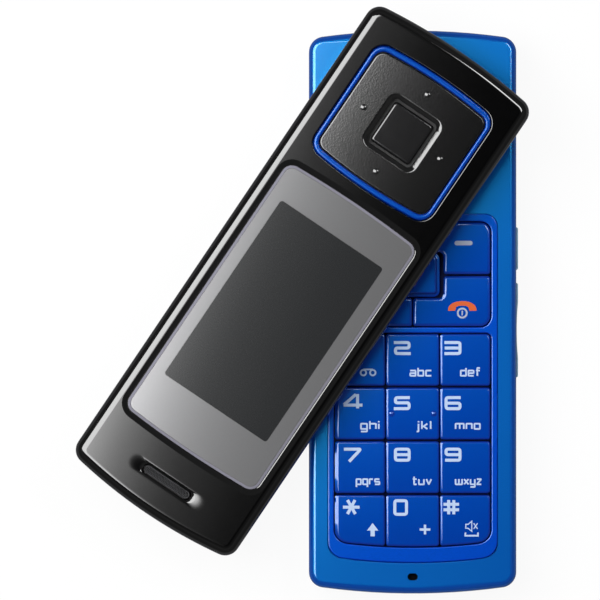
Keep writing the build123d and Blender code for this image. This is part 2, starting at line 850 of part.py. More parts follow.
def volume_key():
    """Rocking volume key, its outer face dipped in the middle."""
    dip_radius = (volume_key_dip_half**2 + volume_key_dip**2) / (2 * volume_key_dip)
    face_x = base_half + side_key_proud
    dip = post(face_x - volume_key_dip + dip_radius, volume_key_y, dip_radius, 0, base_thickness)
    return side_key(volume_key_y, volume_key_length) - dip


# ---- keypad ----
def keypad_bezel():
    """Frame round the two key blocks, held by a flange under the housing's face."""
    plate = slab(panel_plan(fixed_gap), panel_flange_low, panel_face)
    flange_high = base_ceiling - fixed_gap
    plate += slab(panel_plan(-panel_flange), panel_flange_low, flange_high)
    plate -= slab(upper_plan(0), 0, base_thickness)
    return plate - slab(numeric_plan(0), 0, base_thickness)


def key_cap(face, keep):
    """Key raised from its plan shape and trimmed to the outline of its block."""
    return slab(face, key_low, key_top) & slab(keep, key_low, key_top)


def left_bevel(x, y_low, y_high):
    """Wedge cut along a key's left upper edge."""
    corners = [(x, key_top - key_bevel_depth), (x + key_bevel_width, key_top)]
    over = key_top + overrun
    corners += [(x, over), (x - overrun, over), (x - overrun, key_top - key_bevel_depth)]
    face = make_face(Polyline([(px, 0, pz) for px, pz in corners], close=True))
    return Pos(0, y_low, 0) * extrude(face, amount=y_high - y_low, dir=(0, 1, 0))


block_half = opening_half - key_border_gap
block_high = numeric_high - key_border_gap
block_low = numeric_low + key_border_gap
row_pitch = (block_high - block_low + last_row_trim) / 4
column_edges = [-block_half, -middle_column_width / 2, middle_column_width / 2, block_half]
numeric_names = ["1", "2", "3", "4", "5", "6", "7", "8", "9", "star", "0", "hash"]


def numeric_cell(index):
    """X range and Y range of one numeric key, before its block's corners are rounded."""
    row, column = divmod(index, 3)
    gap = key_column_gap / 2
    left = column_edges[column] + (gap if column else 0)
    right = column_edges[column + 1] - (gap if column < 2 else 0)
    high = block_high - row * row_pitch
    low = high - row_pitch + key_row_gap if row < 3 else block_low
    return (left, right), (low, high)


def rectangle(x_range, y_range):
    """Flat rectangle between two corners."""
    width = x_range[1] - x_range[0]
    height = y_range[1] - y_range[0]
    return Pos(sum(x_range) / 2, sum(y_range) / 2) * Rectangle(width, height)


def numeric_keys():
    """Twelve numeric keys; the key in the middle has two raised pips."""
    keys = {}
    for index, name in enumerate(numeric_names):
        x_range, y_range = numeric_cell(index)
        cap = key_cap(rectangle(x_range, y_range), numeric_plan(key_border_gap))
        cap -= left_bevel(x_range[0], *y_range)
        if name == "5":
            for side in (-1, 1):
                x = side * pip_spacing / 2
                y = sum(y_range) / 2
                cap += post(x, y, pip_radius, key_top, key_top + pip_height)
        keys["key_" + name] = cap
    return keys


clear_key_low = upper_low + key_border_gap + call_key_length + clear_skirt_width - 2 * key_border_gap
clear_key_high = clear_key_low + clear_key_length
skirt_half = clear_key_half_width + clear_skirt_width
side_column = skirt_half + key_border_gap + key_column_gap
upper_split = clear_key_low + clear_key_length / 2
upper_edge = opening_half - key_border_gap


def corner_key(side, low, high, inner_low, inner_high):
    """L-shaped key: an outer block beside the clear key and an arm towards the middle line."""
    outer_x = tuple(sorted((side * side_column, side * upper_edge)))
    arm_x = tuple(sorted((side * key_column_gap / 2, side * upper_edge)))
    face = rectangle(outer_x, (low, high)) + rectangle(arm_x, (inner_low, inner_high))
    return key_cap(face, upper_plan(key_border_gap))


def upper_keys():
    """Clear key in the middle, with soft keys above it and call and end keys below it."""
    low = upper_low + key_border_gap
    high = upper_high - key_border_gap
    gap = key_row_gap / 2
    arm_low = clear_key_high + clear_skirt_width - key_border_gap
    arm_high = clear_key_low - clear_skirt_width + key_border_gap
    keys = {}
    for side, place in ((-1, "left"), (1, "right")):
        soft = corner_key(side, upper_split + gap, high, arm_low, high)
        keys[place + "_soft_key"] = soft
    for side, name in ((-1, "call_key"), (1, "end_key")):
        keys[name] = corner_key(side, low, upper_split - gap, low, arm_high)
    half = clear_key_half_width
    clear_range = (clear_key_low, clear_key_high)
    cap = key_cap(rectangle((-half, half), clear_range), upper_plan(key_border_gap))
    spread = clear_skirt_width - 2 * key_border_gap
    skirt_y = (clear_key_low - spread, clear_key_high + spread)
    skirt_x = (-half - spread, half + spread)
    cap += block(skirt_x, skirt_y, (key_low, key_top - clear_skirt_drop))
    keys["clear_key"] = cap
    return keys


def key_sites():
    """Centres of the switches under the keys."""
    sites = []
    for index in range(len(numeric_names)):
        x_range, y_range = numeric_cell(index)
        sites.append((sum(x_range) / 2, sum(y_range) / 2))
    site_x = (side_column + upper_edge) / 2
    soft_y = (upper_split + upper_high) / 2
    call_y = (upper_split + upper_low) / 2
    sites += [(side * site_x, y) for side in (-1, 1) for y in (soft_y, call_y)]
    sites.append((0, upper_split))
    return sites


def keypad_membrane():
    """Silicone sheet that carries the key caps, with a plunger over each switch."""
    face = rectangle((-upper_edge, upper_edge), (numeric_low, upper_high))
    sheet = slab(face, membrane_low, membrane_high)
    for x, y in key_sites():
        sheet += post(x, y, plunger_radius, dome_high + dome_bump, membrane_low)
    return sheet


def dome_sheet():
    """Adhesive sheet on the board with a snap dome under each key."""
    face = rectangle((-upper_edge, upper_edge), (numeric_low, upper_high))
    sheet = slab(face, pcb_high, dome_high)
    for x, y in key_sites():
        sheet += post(x, y, dome_radius, dome_high, dome_high + dome_bump)
    return sheet


# ---- swivel ----
stop_ring_outer = stop_ring_inner + stop_ring_width
ear_radius = stop_ring_outer - sliding_gap
flex_low_top = pcb_high + flex_connector_height


def hinge_stator_plate():
    """Steel plate screwed under the base's face, with a stop ring round half the axis."""
    plate = block((-stator_half_width, stator_half_width),
                  (pivot_y - stator_half_length, pivot_y + stator_half_length),
                  (stator_low, base_ceiling))
    plate -= post(0, pivot_y, shaft_radius + shaft_running_gap, stator_low, base_ceiling)
    for x, y in hinge_screws:
        plate -= post(x, y, screw_hole, stator_low, base_ceiling)
    margin = washer_ear_angle / 2 + stop_spare_angle
    low = washer_low
    return plate + ring_sector(stop_ring_inner, stop_ring_outer, margin, 180 - 2 * margin, low,
                               stator_low)


def hinge_wave_spring():
    """Spring ring that presses the washer away from the plate."""
    inner = shaft_radius + sliding_gap
    ring = post(0, pivot_y, inner + spring_width, washer_high + fixed_gap, stator_low - fixed_gap)
    return ring - post(0, pivot_y, inner, washer_high, stator_low)


def hinge_stop_washer():
    """Washer held on the shaft, with an ear that meets the stop ring at both ends of the turn."""
    disc = post(0, pivot_y, washer_radius, washer_low, washer_high)
    start = -washer_ear_angle / 2
    ear = ring_sector(washer_radius - washer_ear_reach, ear_radius, start, washer_ear_angle,
                      washer_low, washer_high)
    return disc + ear - post(0, pivot_y, shaft_radius, washer_low, washer_high)


def hinge_rotor():
    """Hollow swivel shaft with its flange in the cover, hub in the base's face and staked end."""
    high = cover_floor + flange_thickness
    hub_low = base_ceiling + fixed_gap
    body = post(0, pivot_y, flange_radius, cover_floor, high)
    body += post(0, pivot_y, hub_radius, hub_low, cover_floor)
    body += post(0, pivot_y, shaft_radius, shaft_low, hub_low)
    body += post(0, pivot_y, shaft_radius + lip_overhang, shaft_low, washer_low)
    body -= post(0, pivot_y, shaft_bore_radius, shaft_low - overrun, high + overrun)
    for x, y in stakes():
        body -= post(x, y, stake_radius + fixed_gap, cover_floor, high)
    return body


def stakes():
    """Centres of the plastic stakes that hold the rotor flange in the cover."""
    turns = [math.radians(45 + 90 * quarter) for quarter in range(4)]
    return [(stake_circle * math.cos(a), pivot_y + stake_circle * math.sin(a)) for a in turns]


def hinge_flex_lower():
    """Ribbon from the main board's connector to the foot of the swivel axis."""
    half = flex_width / 2
    step = pcb_end_high + fixed_gap
    run_high = shaft_low - sliding_gap * 2
    run_low = run_high - flex_thickness
    connector_y = (pcb_end_high - flex_connector_length, step + flex_thickness)
    ribbon = block((-half, half), connector_y, (flex_low_top - flex_thickness / 2, flex_low_top))
    ribbon += block((-half, half), (step, step + flex_thickness), (run_low, flex_low_top))
    ribbon += block((-half, half), (step, pivot_y + flex_thickness / 2), (run_low, run_high))
    return ribbon


def hinge_flex_upper():
    """Ribbon from the foot of the hollow shaft up to the cover's board."""
    half = flex_width / 2
    thick = flex_thickness / 2
    connector = (nav_y - flex_connector_length, nav_y)
    run_z = (cover_pcb_low - 4 * flex_thickness, cover_pcb_low - 3 * flex_thickness)
    rise_z = (shaft_low + sliding_gap, run_z[1])
    ribbon = block((-half, half), (pivot_y - thick, pivot_y + thick), rise_z)
    ribbon += block((-half, half), (connector[0], pivot_y + thick), run_z)
    return ribbon + block((-half, half), connector, (run_z[0], cover_pcb_low - fixed_gap))


def base_screws():
    """Four screws that hold the two base housings together from the back."""
    sizes = (screw_head_radius, screw_head_height, screw_shank_radius, screw_length)
    upper = [screw(x, y, sliding_gap, *sizes) for x, y in upper_screws]
    lower = [screw(x, y, rear_low + sliding_gap, *sizes) for x, y in lower_screws]
    return group(upper + lower)


def hinge_plate_screws():
    """Four short screws that hold the stator plate under the base's face."""
    low = stator_low - screw_head_height / 2
    length = screw_head_height / 2 + stator_thickness + hinge_screw_bite - fixed_gap
    sizes = (screw_head_radius, screw_head_height / 2, screw_shank_radius, length)
    return group(screw(x, y, low, *sizes) for x, y in hinge_screws)


# ---- cover ----
def cover_plan(inset):
    """Cover outline, moved inwards by inset."""
    corner = cover_corner_radius - inset
    bows = (cover_ear_end_radius - inset, cover_nav_end_radius - inset)
    half = cover_half - inset
    return outline(half, cover_low + inset, cover_high - inset, *bows, corner, corner)


def nav_plan(inset):
    """Outline of the navigation plate, moved inwards by inset."""
    half = nav_plate_half_width - inset
    reach = nav_plate_half_length - inset
    bow = nav_end_radius - inset
    corner = nav_plate_corner - inset
    return outline(half, nav_y - reach, nav_y + reach, bow, bow, corner, corner)


def nav_ring_plan(extra):
    """Outer outline of the blue ring round the navigation plate, moved outwards by extra."""
    inset = -(nav_ring_gap + nav_ring_width + extra)
    reach = nav_plate_half_length - inset + nav_ring_end_extra
    corner = nav_plate_corner - inset
    bow = nav_end_radius - inset
    half = nav_plate_half_width - inset
    return outline(half, nav_y - reach, nav_y + reach, bow, bow, corner, corner)


def window_plan(inset):
    """Outline of the display window, moved inwards by inset."""
    half = window_half_width - inset
    bow = window_end_radius - inset
    corner = window_corner - inset
    return outline(half, window_low + inset, window_high - inset, bow, bow, corner, corner)


def stack(plan, levels):
    """Solid through outlines of one family, given as (inset, height) pairs from the bottom up."""
    body = Part()
    for (inset_low, low), (inset_high, high) in zip(levels, levels[1:]):
        lower = (Pos(0, 0, low) * plan(inset_low)).face()
        upper = (Pos(0, 0, high) * plan(inset_high)).face()
        sections = [lower, upper]
        body += loft(sections, ruled=True)
    return body


cover_screws_at = [
    (side * (cover_half - cover_screw_inset), y)
    for side in (-1, 1)
    for y in (cover_low + cover_screw_from_end, cover_high - cover_screw_from_end)
]
cover_boss_radius = cover_screw_shank_radius + cover_boss_wall
cover_screw_hole = cover_screw_shank_radius + sliding_gap


def cover_front_frame():
    """Front shell of the cover with its shoulder, window seat, ring seat and earpiece dish."""
    facet_high = cover_face - shoulder_facet_drop
    facet_inset = shoulder_round_width + shoulder_facet_width
    levels = [
        (0, cover_seam),
        (0, facet_high - shoulder_round_drop),
        (shoulder_round_width / 3, facet_high - shoulder_round_drop / 3),
        (shoulder_round_width, facet_high),
        (facet_inset, cover_face),
    ]
    shell = stack(cover_plan, levels)
    shell -= slab(cover_plan(cover_wall), cover_seam - overrun, cover_ceiling)
    for x, y in cover_screws_at:
        boss = post(x, y, cover_boss_radius, cover_seam + fixed_gap, cover_ceiling)
        shell += boss & slab(cover_plan(cover_wall / 2), cover_seam, cover_face)
    for x, y in cover_screws_at:
        shell -= post(x, y, cover_screw_hole, cover_seam, cover_ceiling - fixed_gap)
    shell -= slab(nav_ring_plan(fixed_gap), cover_ceiling - overrun, cover_face + overrun)
    groove_low = cover_face - nav_groove
    shell -= stack(nav_ring_groove, [(fixed_gap, groove_low), (-nav_groove, cover_face)])
    recess_low = cover_face - window_groove_depth
    shell -= slab(window_plan(-fixed_gap), window_seat, cover_face)
    shell -= stack(window_plan, [(-fixed_gap, recess_low), (-window_groove_width, cover_face)])
    shell -= slab(aperture_face(), cover_ceiling - overrun, cover_face)
    shell -= earpiece_dish()
    slot = oblong(earpiece_slot_half_length, earpiece_slot_half_width, 0, earpiece_y)
    return shell - slab(slot, cover_ceiling - overrun, cover_face)


def nav_ring_groove(inset):
    """Outline of the ring seat, moved inwards by inset."""
    return nav_ring_plan(-inset)


def aperture_face():
    """Opening behind the window through which the display is seen."""
    middle = (aperture_high + aperture_low) / 2
    length = aperture_high - aperture_low
    return Pos(0, middle) * RectangleRounded(2 * aperture_half_width, length, aperture_corner)


def earpiece_dish():
    """Long dish round the earpiece slot, sloping down from the cover's face."""
    low = cover_face - earpiece_depth
    top = oblong(earpiece_half_length, earpiece_half_width, 0, earpiece_y)
    half_length = earpiece_slot_half_length + fixed_gap
    half_width = earpiece_slot_half_width + fixed_gap
    bottom = oblong(half_length, half_width, 0, earpiece_y)
    faces = [(Pos(0, 0, low) * bottom).face(), (Pos(0, 0, cover_face) * top).face()]
    return loft(faces, ruled=True)


def cover_rear_housing():
    """Back shell of the cover, with the rotor's stakes and the ribs under board and display."""
    shell = slab(cover_plan(0), cover_back, cover_seam)
    shell = fillet(shell.edges().group_by(Axis.Z)[0], cover_back_edge_radius)
    shell = chamfer(shell.edges().group_by(Axis.Z)[-1], seam_chamfer)
    shell -= slab(cover_plan(cover_wall), cover_floor, cover_seam)
    shell -= post(0, pivot_y, hub_radius + fixed_gap, cover_back - overrun, cover_floor)
    for x, y in stakes():
        shell += post(x, y, stake_radius, cover_floor, cover_floor + flange_thickness)
    inner = slab(cover_plan(cover_wall), cover_floor, cover_seam)
    for x, y in cover_screws_at:
        boss = post(x, y, cover_screw_head_radius + cover_boss_wall, cover_floor, cover_seam)
        shell += boss & inner
    for x, y in cover_screws_at:
        seat = cover_back + cover_screw_head_height + sliding_gap
        shell -= post(x, y, cover_screw_head_radius + sliding_gap, cover_back - overrun, seat)
        shell -= post(x, y, cover_screw_hole, cover_back, cover_seam)
    for rib in cover_ribs():
        shell += rib
    return shell


def cover_ribs():
    """Posts under the corners of the cover's board and cross ribs under the display tray."""
    posts_x = cover_half - cover_pcb_side_gap - cover_wall - post_size
    ribs = []
    for side in (-1, 1):
        x_range = tuple(sorted((side * posts_x, side * (posts_x + post_size))))
        for y in (cover_pcb_start + post_size, cover_pcb_end - 2 * post_size):
            ribs.append(block(x_range, (y, y + post_size), (cover_floor, cover_pcb_low)))
    half = aperture_half_width
    for y in (aperture_low, (aperture_low + aperture_high) / 2, aperture_high - rib_thickness):
        ribs.append(block((-half, half), (y, y + rib_thickness), (cover_floor, bracket_low_z)))
    return ribs


def nav_ring():
    """Metallic ring round the navigation plate, with a flange under the frame."""
    ring = slab(nav_ring_plan(0), cover_ceiling, cover_face - nav_ring_recess)
    ring = fillet(ring.edges().group_by(Axis.Z)[-1], nav_ring_width / 3)
    low = cover_ceiling - fixed_gap - nav_ring_flange_thickness
    ring += slab(nav_ring_plan(nav_ring_flange), low, cover_ceiling - fixed_gap)
    ring += slab(nav_ring_plan(0), low, cover_ceiling)
    return ring - slab(nav_plan(-nav_ring_gap), 0, cover_face)


def nav_plate():
    """Four-way rocking plate with four raised dots and a bevelled well for the middle key."""
    plate = slab(nav_plan(0), nav_plate_low, nav_face)
    plate -= slab(well(nav_well_half, nav_well_corner), 0, cover_face)
    rim = nav_well_half + nav_well_bevel
    bevel_faces = [
        (Pos(0, 0, nav_face - nav_well_bevel) * well(nav_well_half, nav_well_corner)).face(),
        (Pos(0, 0, nav_face) * well(rim, nav_well_corner)).face(),
    ]
    plate -= loft(bevel_faces, ruled=True)
    for x, y in nav_dots():
        plate += post(x, y, nav_dot_radius, nav_face, nav_face + nav_dot_height)
    return plate


def well(half, corner):
    """Square with round corners about the middle of the navigation plate."""
    return Pos(0, nav_y) * RectangleRounded(2 * half, 2 * half, corner)


def nav_dots():
    """Centres of the raised dots, one on each arm of the cross."""
    reach = nav_dot_reach
    return [(reach, nav_y), (-reach, nav_y), (0, nav_y + reach), (0, nav_y - reach)]


def nav_rubber_pad():
    """Rubber carrier under the navigation plate, free to tilt to the left and right."""
    face = nav_plan(nav_pad_inset)
    pad = slab(face, nav_pad_low, nav_pad_high)
    return pad - slab(well(nav_well_half + nav_ring_gap, nav_well_corner), 0, cover_face)


def ok_key():
    """Middle key, standing in the well of the navigation plate."""
    low = nav_dome_high + dome_bump + ok_key_travel + fixed_gap
    key = slab(well(ok_key_half, ok_key_corner), low, nav_face - ok_key_recess)
    return chamfer(key.edges().group_by(Axis.Z)[-1], ok_key_bevel)


def nav_dome_sheet():
    """Sheet on the cover's board with a snap dome under each arm and under the middle key."""
    sheet = slab(nav_plan(nav_pad_inset), cover_pcb_high, nav_dome_high)
    for x, y in nav_dots() + [(0, nav_y)]:
        sheet += post(x, y, nav_dome_radius, nav_dome_high, nav_dome_high + dome_bump)
    return sheet


def cover_pcb():
    """Circuit board under the navigation pad."""
    half = cover_half - cover_pcb_side_gap - cover_wall
    length = cover_pcb_end - cover_pcb_start
    middle = (cover_pcb_end + cover_pcb_start) / 2
    plan = Pos(0, middle) * RectangleRounded(2 * half, length, cover_pcb_corner)
    return slab(plan, cover_pcb_low, cover_pcb_high)


def display_window():
    """Hard clear window over the display, bevelled along its edge."""
    low_edge = window_face - window_bevel_drop
    levels = [(0, window_seat + fixed_gap), (0, low_edge), (window_bevel_width, window_face)]
    return stack(window_plan, levels)


def display_span(extra):
    """X range and Y range of the display module, moved outwards by extra."""
    reach = module_overlap + extra
    half = aperture_half_width + reach
    return (-half, half), (aperture_low - reach, aperture_high + reach)


def display_module():
    """Display glass with its backlight."""
    return block(*display_span(0), (module_low_z, module_high_z))


def display_bracket():
    """Sheet-metal tray that holds the display."""
    low = bracket_low_z
    high = module_low_z + module_thickness / 2
    tray = block(*display_span(bracket_wall + fixed_gap), (low, high))
    return tray - block(*display_span(fixed_gap), (low + bracket_thickness, high + overrun))


def earpiece_mesh():
    """Woven strip behind the earpiece slot."""
    slot_length = earpiece_slot_half_length - fixed_gap
    slot_width = earpiece_slot_half_width - fixed_gap
    high = cover_face - earpiece_depth
    face = oblong(slot_length, slot_width, 0, earpiece_y)
    return slab(face, high - earpiece_mesh_thickness, high)


def earpiece_receiver():
    """Sound capsule behind the earpiece slot."""
    high = cover_ceiling - fixed_gap
    face = oblong(receiver_half_length, receiver_half_width, 0, earpiece_y)
    return slab(face, high - receiver_height, high)


def cover_screws():
    """Four screws that hold the two cover shells together."""
    sizes = (cover_screw_head_radius, cover_screw_head_height, cover_screw_shank_radius,
             cover_screw_length)
    return group(screw(x, y, cover_back + sliding_gap, *sizes) for x, y in cover_screws_at)


# ---- the assembly ----
base_nodes = {
    "base_front_housing": base_front_housing(),
    "base_rear_housing": base_rear_housing(),
    "battery_cover": battery_cover(),
    "battery": battery(),
    "battery_connector": battery_connector(),
    "sim_socket": sim_socket(),
    "main_pcb": main_pcb(),
    "shield_cans": shield_cans(),
    "microphone": microphone(),
    "io_connector": io_connector(),
    "port_cover": port_cover(),
    "camera_key": side_key(camera_key_y, camera_key_length),
    "volume_key": volume_key(),
    "loudspeaker": loudspeaker(),
    "vibration_motor": vibration_motor(),
    "camera_module": camera_module(),
    "camera_window": camera_window(),
    "antenna": antenna(),
    "keypad_bezel": keypad_bezel(),
    "keypad_membrane": keypad_membrane(),
    "dome_sheet": dome_sheet(),
    "hinge_stator_plate": hinge_stator_plate(),
    "hinge_wave_spring": hinge_wave_spring(),
    "hinge_plate_screws": hinge_plate_screws(),
    "hinge_flex_lower": hinge_flex_lower(),
    "base_screws": base_screws(),
    **numeric_keys(),
    **upper_keys(),
}
cover_nodes = {
    "cover_front_frame": cover_front_frame(),
    "cover_rear_housing": cover_rear_housing(),
    "display_window": display_window(),
    "display_module": display_module(),
    "display_bracket": display_bracket(),
    "cover_pcb": cover_pcb(),
    "nav_ring": nav_ring(),
    "nav_plate": nav_plate(),
    "nav_rubber_pad": nav_rubber_pad(),
    "nav_dome_sheet": nav_dome_sheet(),
    "ok_key": ok_key(),
    "earpiece_mesh": earpiece_mesh(),
    "earpiece_receiver": earpiece_receiver(),
    "hinge_rotor": hinge_rotor(),
    "hinge_stop_washer": hinge_stop_washer(),
    "hinge_flex_upper": hinge_flex_upper(),
    "cover_screws": cover_screws(),
}
swing = Pos(0, pivot_y, 0) * Rot(0, 0, -rest_swing) * Pos(0, -pivot_y, 0)

os.makedirs("parts", exist_ok=True)
for node, shape in base_nodes.items():
    export_step(shape, f"parts/{node}.step")
for node, shape in cover_nodes.items():
    export_step(swing * shape, f"parts/{node}.step")
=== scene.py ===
import json
import math

import bmesh
import bpy
import numpy as np
from mathutils import Matrix, Vector
from mathutils.geometry import delaunay_2d_cdt


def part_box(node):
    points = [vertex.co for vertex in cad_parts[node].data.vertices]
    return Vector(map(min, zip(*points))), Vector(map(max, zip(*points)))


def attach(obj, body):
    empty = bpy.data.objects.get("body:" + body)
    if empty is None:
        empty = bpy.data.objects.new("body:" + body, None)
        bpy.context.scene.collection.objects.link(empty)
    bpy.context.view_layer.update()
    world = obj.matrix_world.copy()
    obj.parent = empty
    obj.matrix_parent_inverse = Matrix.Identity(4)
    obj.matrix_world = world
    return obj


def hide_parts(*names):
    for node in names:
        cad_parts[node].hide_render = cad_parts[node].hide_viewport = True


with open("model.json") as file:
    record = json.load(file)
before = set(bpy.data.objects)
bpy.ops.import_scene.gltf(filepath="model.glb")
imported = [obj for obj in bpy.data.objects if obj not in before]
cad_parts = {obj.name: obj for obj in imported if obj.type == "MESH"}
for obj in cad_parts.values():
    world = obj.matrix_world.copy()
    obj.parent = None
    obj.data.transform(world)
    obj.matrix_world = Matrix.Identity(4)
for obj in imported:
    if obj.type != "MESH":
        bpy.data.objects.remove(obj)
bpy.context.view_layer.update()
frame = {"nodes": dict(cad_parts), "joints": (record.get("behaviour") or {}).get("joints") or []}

mm = 0.001   # sizes of pieces are written in millimetres, and their meshes are in metres

# ---- The view ----
# The telephone lies on its back on a table and is seen from straight above through a long lens,
# with the base's swivel end at the top of the picture.
view_width = 0.09231
view_centre = Vector((-0.01738, 0.00186, 0.015))
view_distance = 1.5
sensor_width = 36.0          # of the camera's sensor, in millimetres as Blender keeps it

lens = bpy.data.cameras.new("long_lens")
lens.sensor_width = sensor_width
lens.lens = sensor_width * view_distance / view_width
lens.clip_start = 0.1
lens.clip_end = 20.0
camera = bpy.data.objects.new("camera", lens)
camera.location = view_centre + Vector((0, 0, view_distance))
bpy.context.scene.collection.objects.link(camera)
bpy.context.scene.camera = camera
bpy.context.scene.view_settings.view_transform = "Standard"


class Wire:
    """A shader socket that takes part in arithmetic: each operator adds one Math node."""

    def __init__(self, finish, socket):
        self.finish = finish
        self.socket = socket

    def math(self, operation, *values):
        """Math node with this operation on the given values or wires."""
        return self.finish.node("ShaderNodeMath", {"operation": operation}, dict(enumerate(values)))

    def __add__(self, other):
        return self.math("ADD", self, other)

    __radd__ = __add__

    def __mul__(self, other):
        return self.math("MULTIPLY", self, other)

    __rmul__ = __mul__

    def __sub__(self, other):
        return self.math("SUBTRACT", self, other)

    def __rsub__(self, other):
        return self.math("SUBTRACT", other, self)


class Finish:
    """A node material being put together. Wires and values go into its Principled shader."""

    def __init__(self, name, tree=None):
        if tree is None:
            self.material = bpy.data.materials.new(name)
            self.material.use_nodes = True
            tree = self.material.node_tree
        self.tree = tree
        self.tree.nodes.clear()

    def node(self, kind, settings=None, sockets=None, output=0):
        """Adds a node: its settings first, then the values or wires of its sockets."""
        made = self.tree.nodes.new(kind)
        for name, value in (settings or {}).items():
            if name == "stops":
                self.set_stops(made.color_ramp, value)
            else:
                setattr(made, name, value)
        for name, value in (sockets or {}).items():
            if isinstance(value, Wire):
                self.tree.links.new(value.socket, made.inputs[name])
            else:
                made.inputs[name].default_value = value
        return Wire(self, made.outputs[output]) if made.outputs else made

    def set_stops(self, ramp, stops):
        """Colour stops of a ramp, as (position, colour) pairs."""
        while len(ramp.elements) < len(stops):
            ramp.elements.new(1.0)
        for element, (position, colour) in zip(ramp.elements, stops):
            element.position = position
            element.color = colour

    def place(self, scale=(1, 1, 1)):
        """Object coordinates, scaled."""
        spot = self.node("ShaderNodeTexCoord", output="Object")
        sockets = {"Vector": spot, "Scale": scale}
        return self.node("ShaderNodeMapping", {"vector_type": "POINT"}, sockets)

    def part(self, spot, axis):
        """One coordinate of a place."""
        return self.node("ShaderNodeSeparateXYZ", None, {0: spot}, output=axis)

    def noise(self, spot, scale, detail=2.0):
        """Smooth noise from 0 to 1."""
        sockets = {"Vector": spot, "Scale": scale, "Detail": detail}
        return self.node("ShaderNodeTexNoise", None, sockets)

    def cells(self, spot, scale, feature="F1"):
        """Distance to the nearest of scattered cell centres, or to the walls between the cells."""
        sockets = {"Vector": spot, "Scale": scale}
        return self.node("ShaderNodeTexVoronoi", {"feature": feature}, sockets, output="Distance")

    def waves(self, spot, scale, axis="X"):
        """Even bands across one axis, from 0 to 1."""
        settings = {"wave_type": "BANDS", "bands_direction": axis}
        return self.node("ShaderNodeTexWave", settings, {"Vector": spot, "Scale": scale}, output=1)

    def blend(self, factor, low, high):
        """Colour between low and high."""
        sockets = {0: factor, 6: low, 7: high}
        return self.node("ShaderNodeMix", {"data_type": "RGBA"}, sockets, output=2)

    def spread(self, value, low, high, from_low=0.0, from_high=1.0):
        """Value moved from one range to another and kept inside it."""
        sockets = {"Value": value, "From Min": from_low, "From Max": from_high}
        sockets.update({"To Min": low, "To Max": high})
        return self.node("ShaderNodeMapRange", {"clamp": True}, sockets)

    def bump(self, height, depth, strength=1.0):
        """Normal of a surface raised by height times depth."""
        sockets = {"Height": height, "Distance": depth, "Strength": strength}
        return self.node("ShaderNodeBump", None, sockets)

    def principled(self, **sockets):
        """Principled shader; words are socket names with underscores."""
        named = {name.replace("_", " "): value for name, value in sockets.items()}
        return self.node("ShaderNodeBsdfPrincipled", None, named)

    def close(self, surface):
        """Gives the material its surface."""
        self.node("ShaderNodeOutputMaterial", None, {"Surface": surface})
        return self

    def shade(self, **sockets):
        """Closes the material with one Principled shader."""
        return self.close(self.principled(**sockets))


# ---- The table and the light ----
# A white table top, a soft box on the left that leans over the telephone and fades towards its
# upper edge, a narrow strip on the upper right, and a dim surround, darkest straight overhead.
table_size = 6.0
table_drop = 0.0002          # below the telephone's back
table_tones = ((0.82, 0.82, 0.82, 1), (0.80, 0.80, 0.80, 1))
table_white = 0.93
table_grain = 4.0            # soft clouds per metre in its white
table_mirrored = (0.25, 0.25, 0.27, 1)
light_side = Vector((-0.919, 0.394, 0))
strip_side = Vector((0.809, 0.588, 0))
box_lean = math.radians(21.4)  # of the soft box from upright
box_reach = 0.451            # from the telephone to the soft box
box_width = 0.385
box_length = 0.25
box_radiance = 9.5
box_rise = [(0.0, 0.0005), (0.041, 0.0018), (0.077, 0.009), (0.113, 0.042), (0.130, 0.095),
            (0.149, 0.25), (0.1635, 0.50), (0.1747, 0.74), (0.200, 1.0)]
strip_lean = math.radians(24)
strip_reach = 0.60
strip_width = 0.12
strip_length = 0.19
strip_radiance = 13.0
strip_rise = [(0.0, 0.2), (0.3, 1.0), (0.7, 1.0), (1.0, 0.2)]
surround_levels = [(0.0, 0.45), (0.13, 0.36), (0.26, 0.16), (0.45, 0.11), (0.6, 0.14), (0.72, 0.19),
                   (0.8, 0.16), (0.9, 0.11), (0.97, 0.075), (0.988, 0.045), (1.0, 0.008)]

table_finish = Finish("white_table")
kinds = ("Camera", "Glossy", "Transmission")
paths = [table_finish.node("ShaderNodeLightPath", output=f"Is {kind} Ray") for kind in kinds]
seen = (paths[0] + paths[1] + paths[2]) * table_white
grain = table_finish.noise(table_finish.place(), table_grain)
lit = table_finish.node("ShaderNodeBsdfDiffuse", None,
                        {"Color": table_finish.blend(grain, *table_tones)})
mirrored = table_finish.blend(paths[1], (1, 1, 1, 1), table_mirrored)
glow = table_finish.node("ShaderNodeEmission", None, {"Color": mirrored, "Strength": 1.0})
both = table_finish.node("ShaderNodeMixShader", None, {0: seen, 1: lit, 2: glow})
table_finish.node("ShaderNodeOutputMaterial", None, {"Surface": both})

table_mesh = bpy.data.meshes.new("table")
edge = table_size / 2
table_mesh.from_pydata([(-edge, -edge, -table_drop), (edge, -edge, -table_drop),
                        (edge, edge, -table_drop), (-edge, edge, -table_drop)], [], [(0, 1, 2, 3)])
table_mesh.materials.append(table_finish.material)
table = bpy.data.objects.new("table", table_mesh)
bpy.context.scene.collection.objects.link(table)


def grey_stops(levels):
    """Colour stops of even greys from (position, level) pairs."""
    return [(position, (level, level, level, 1)) for position, level in levels]


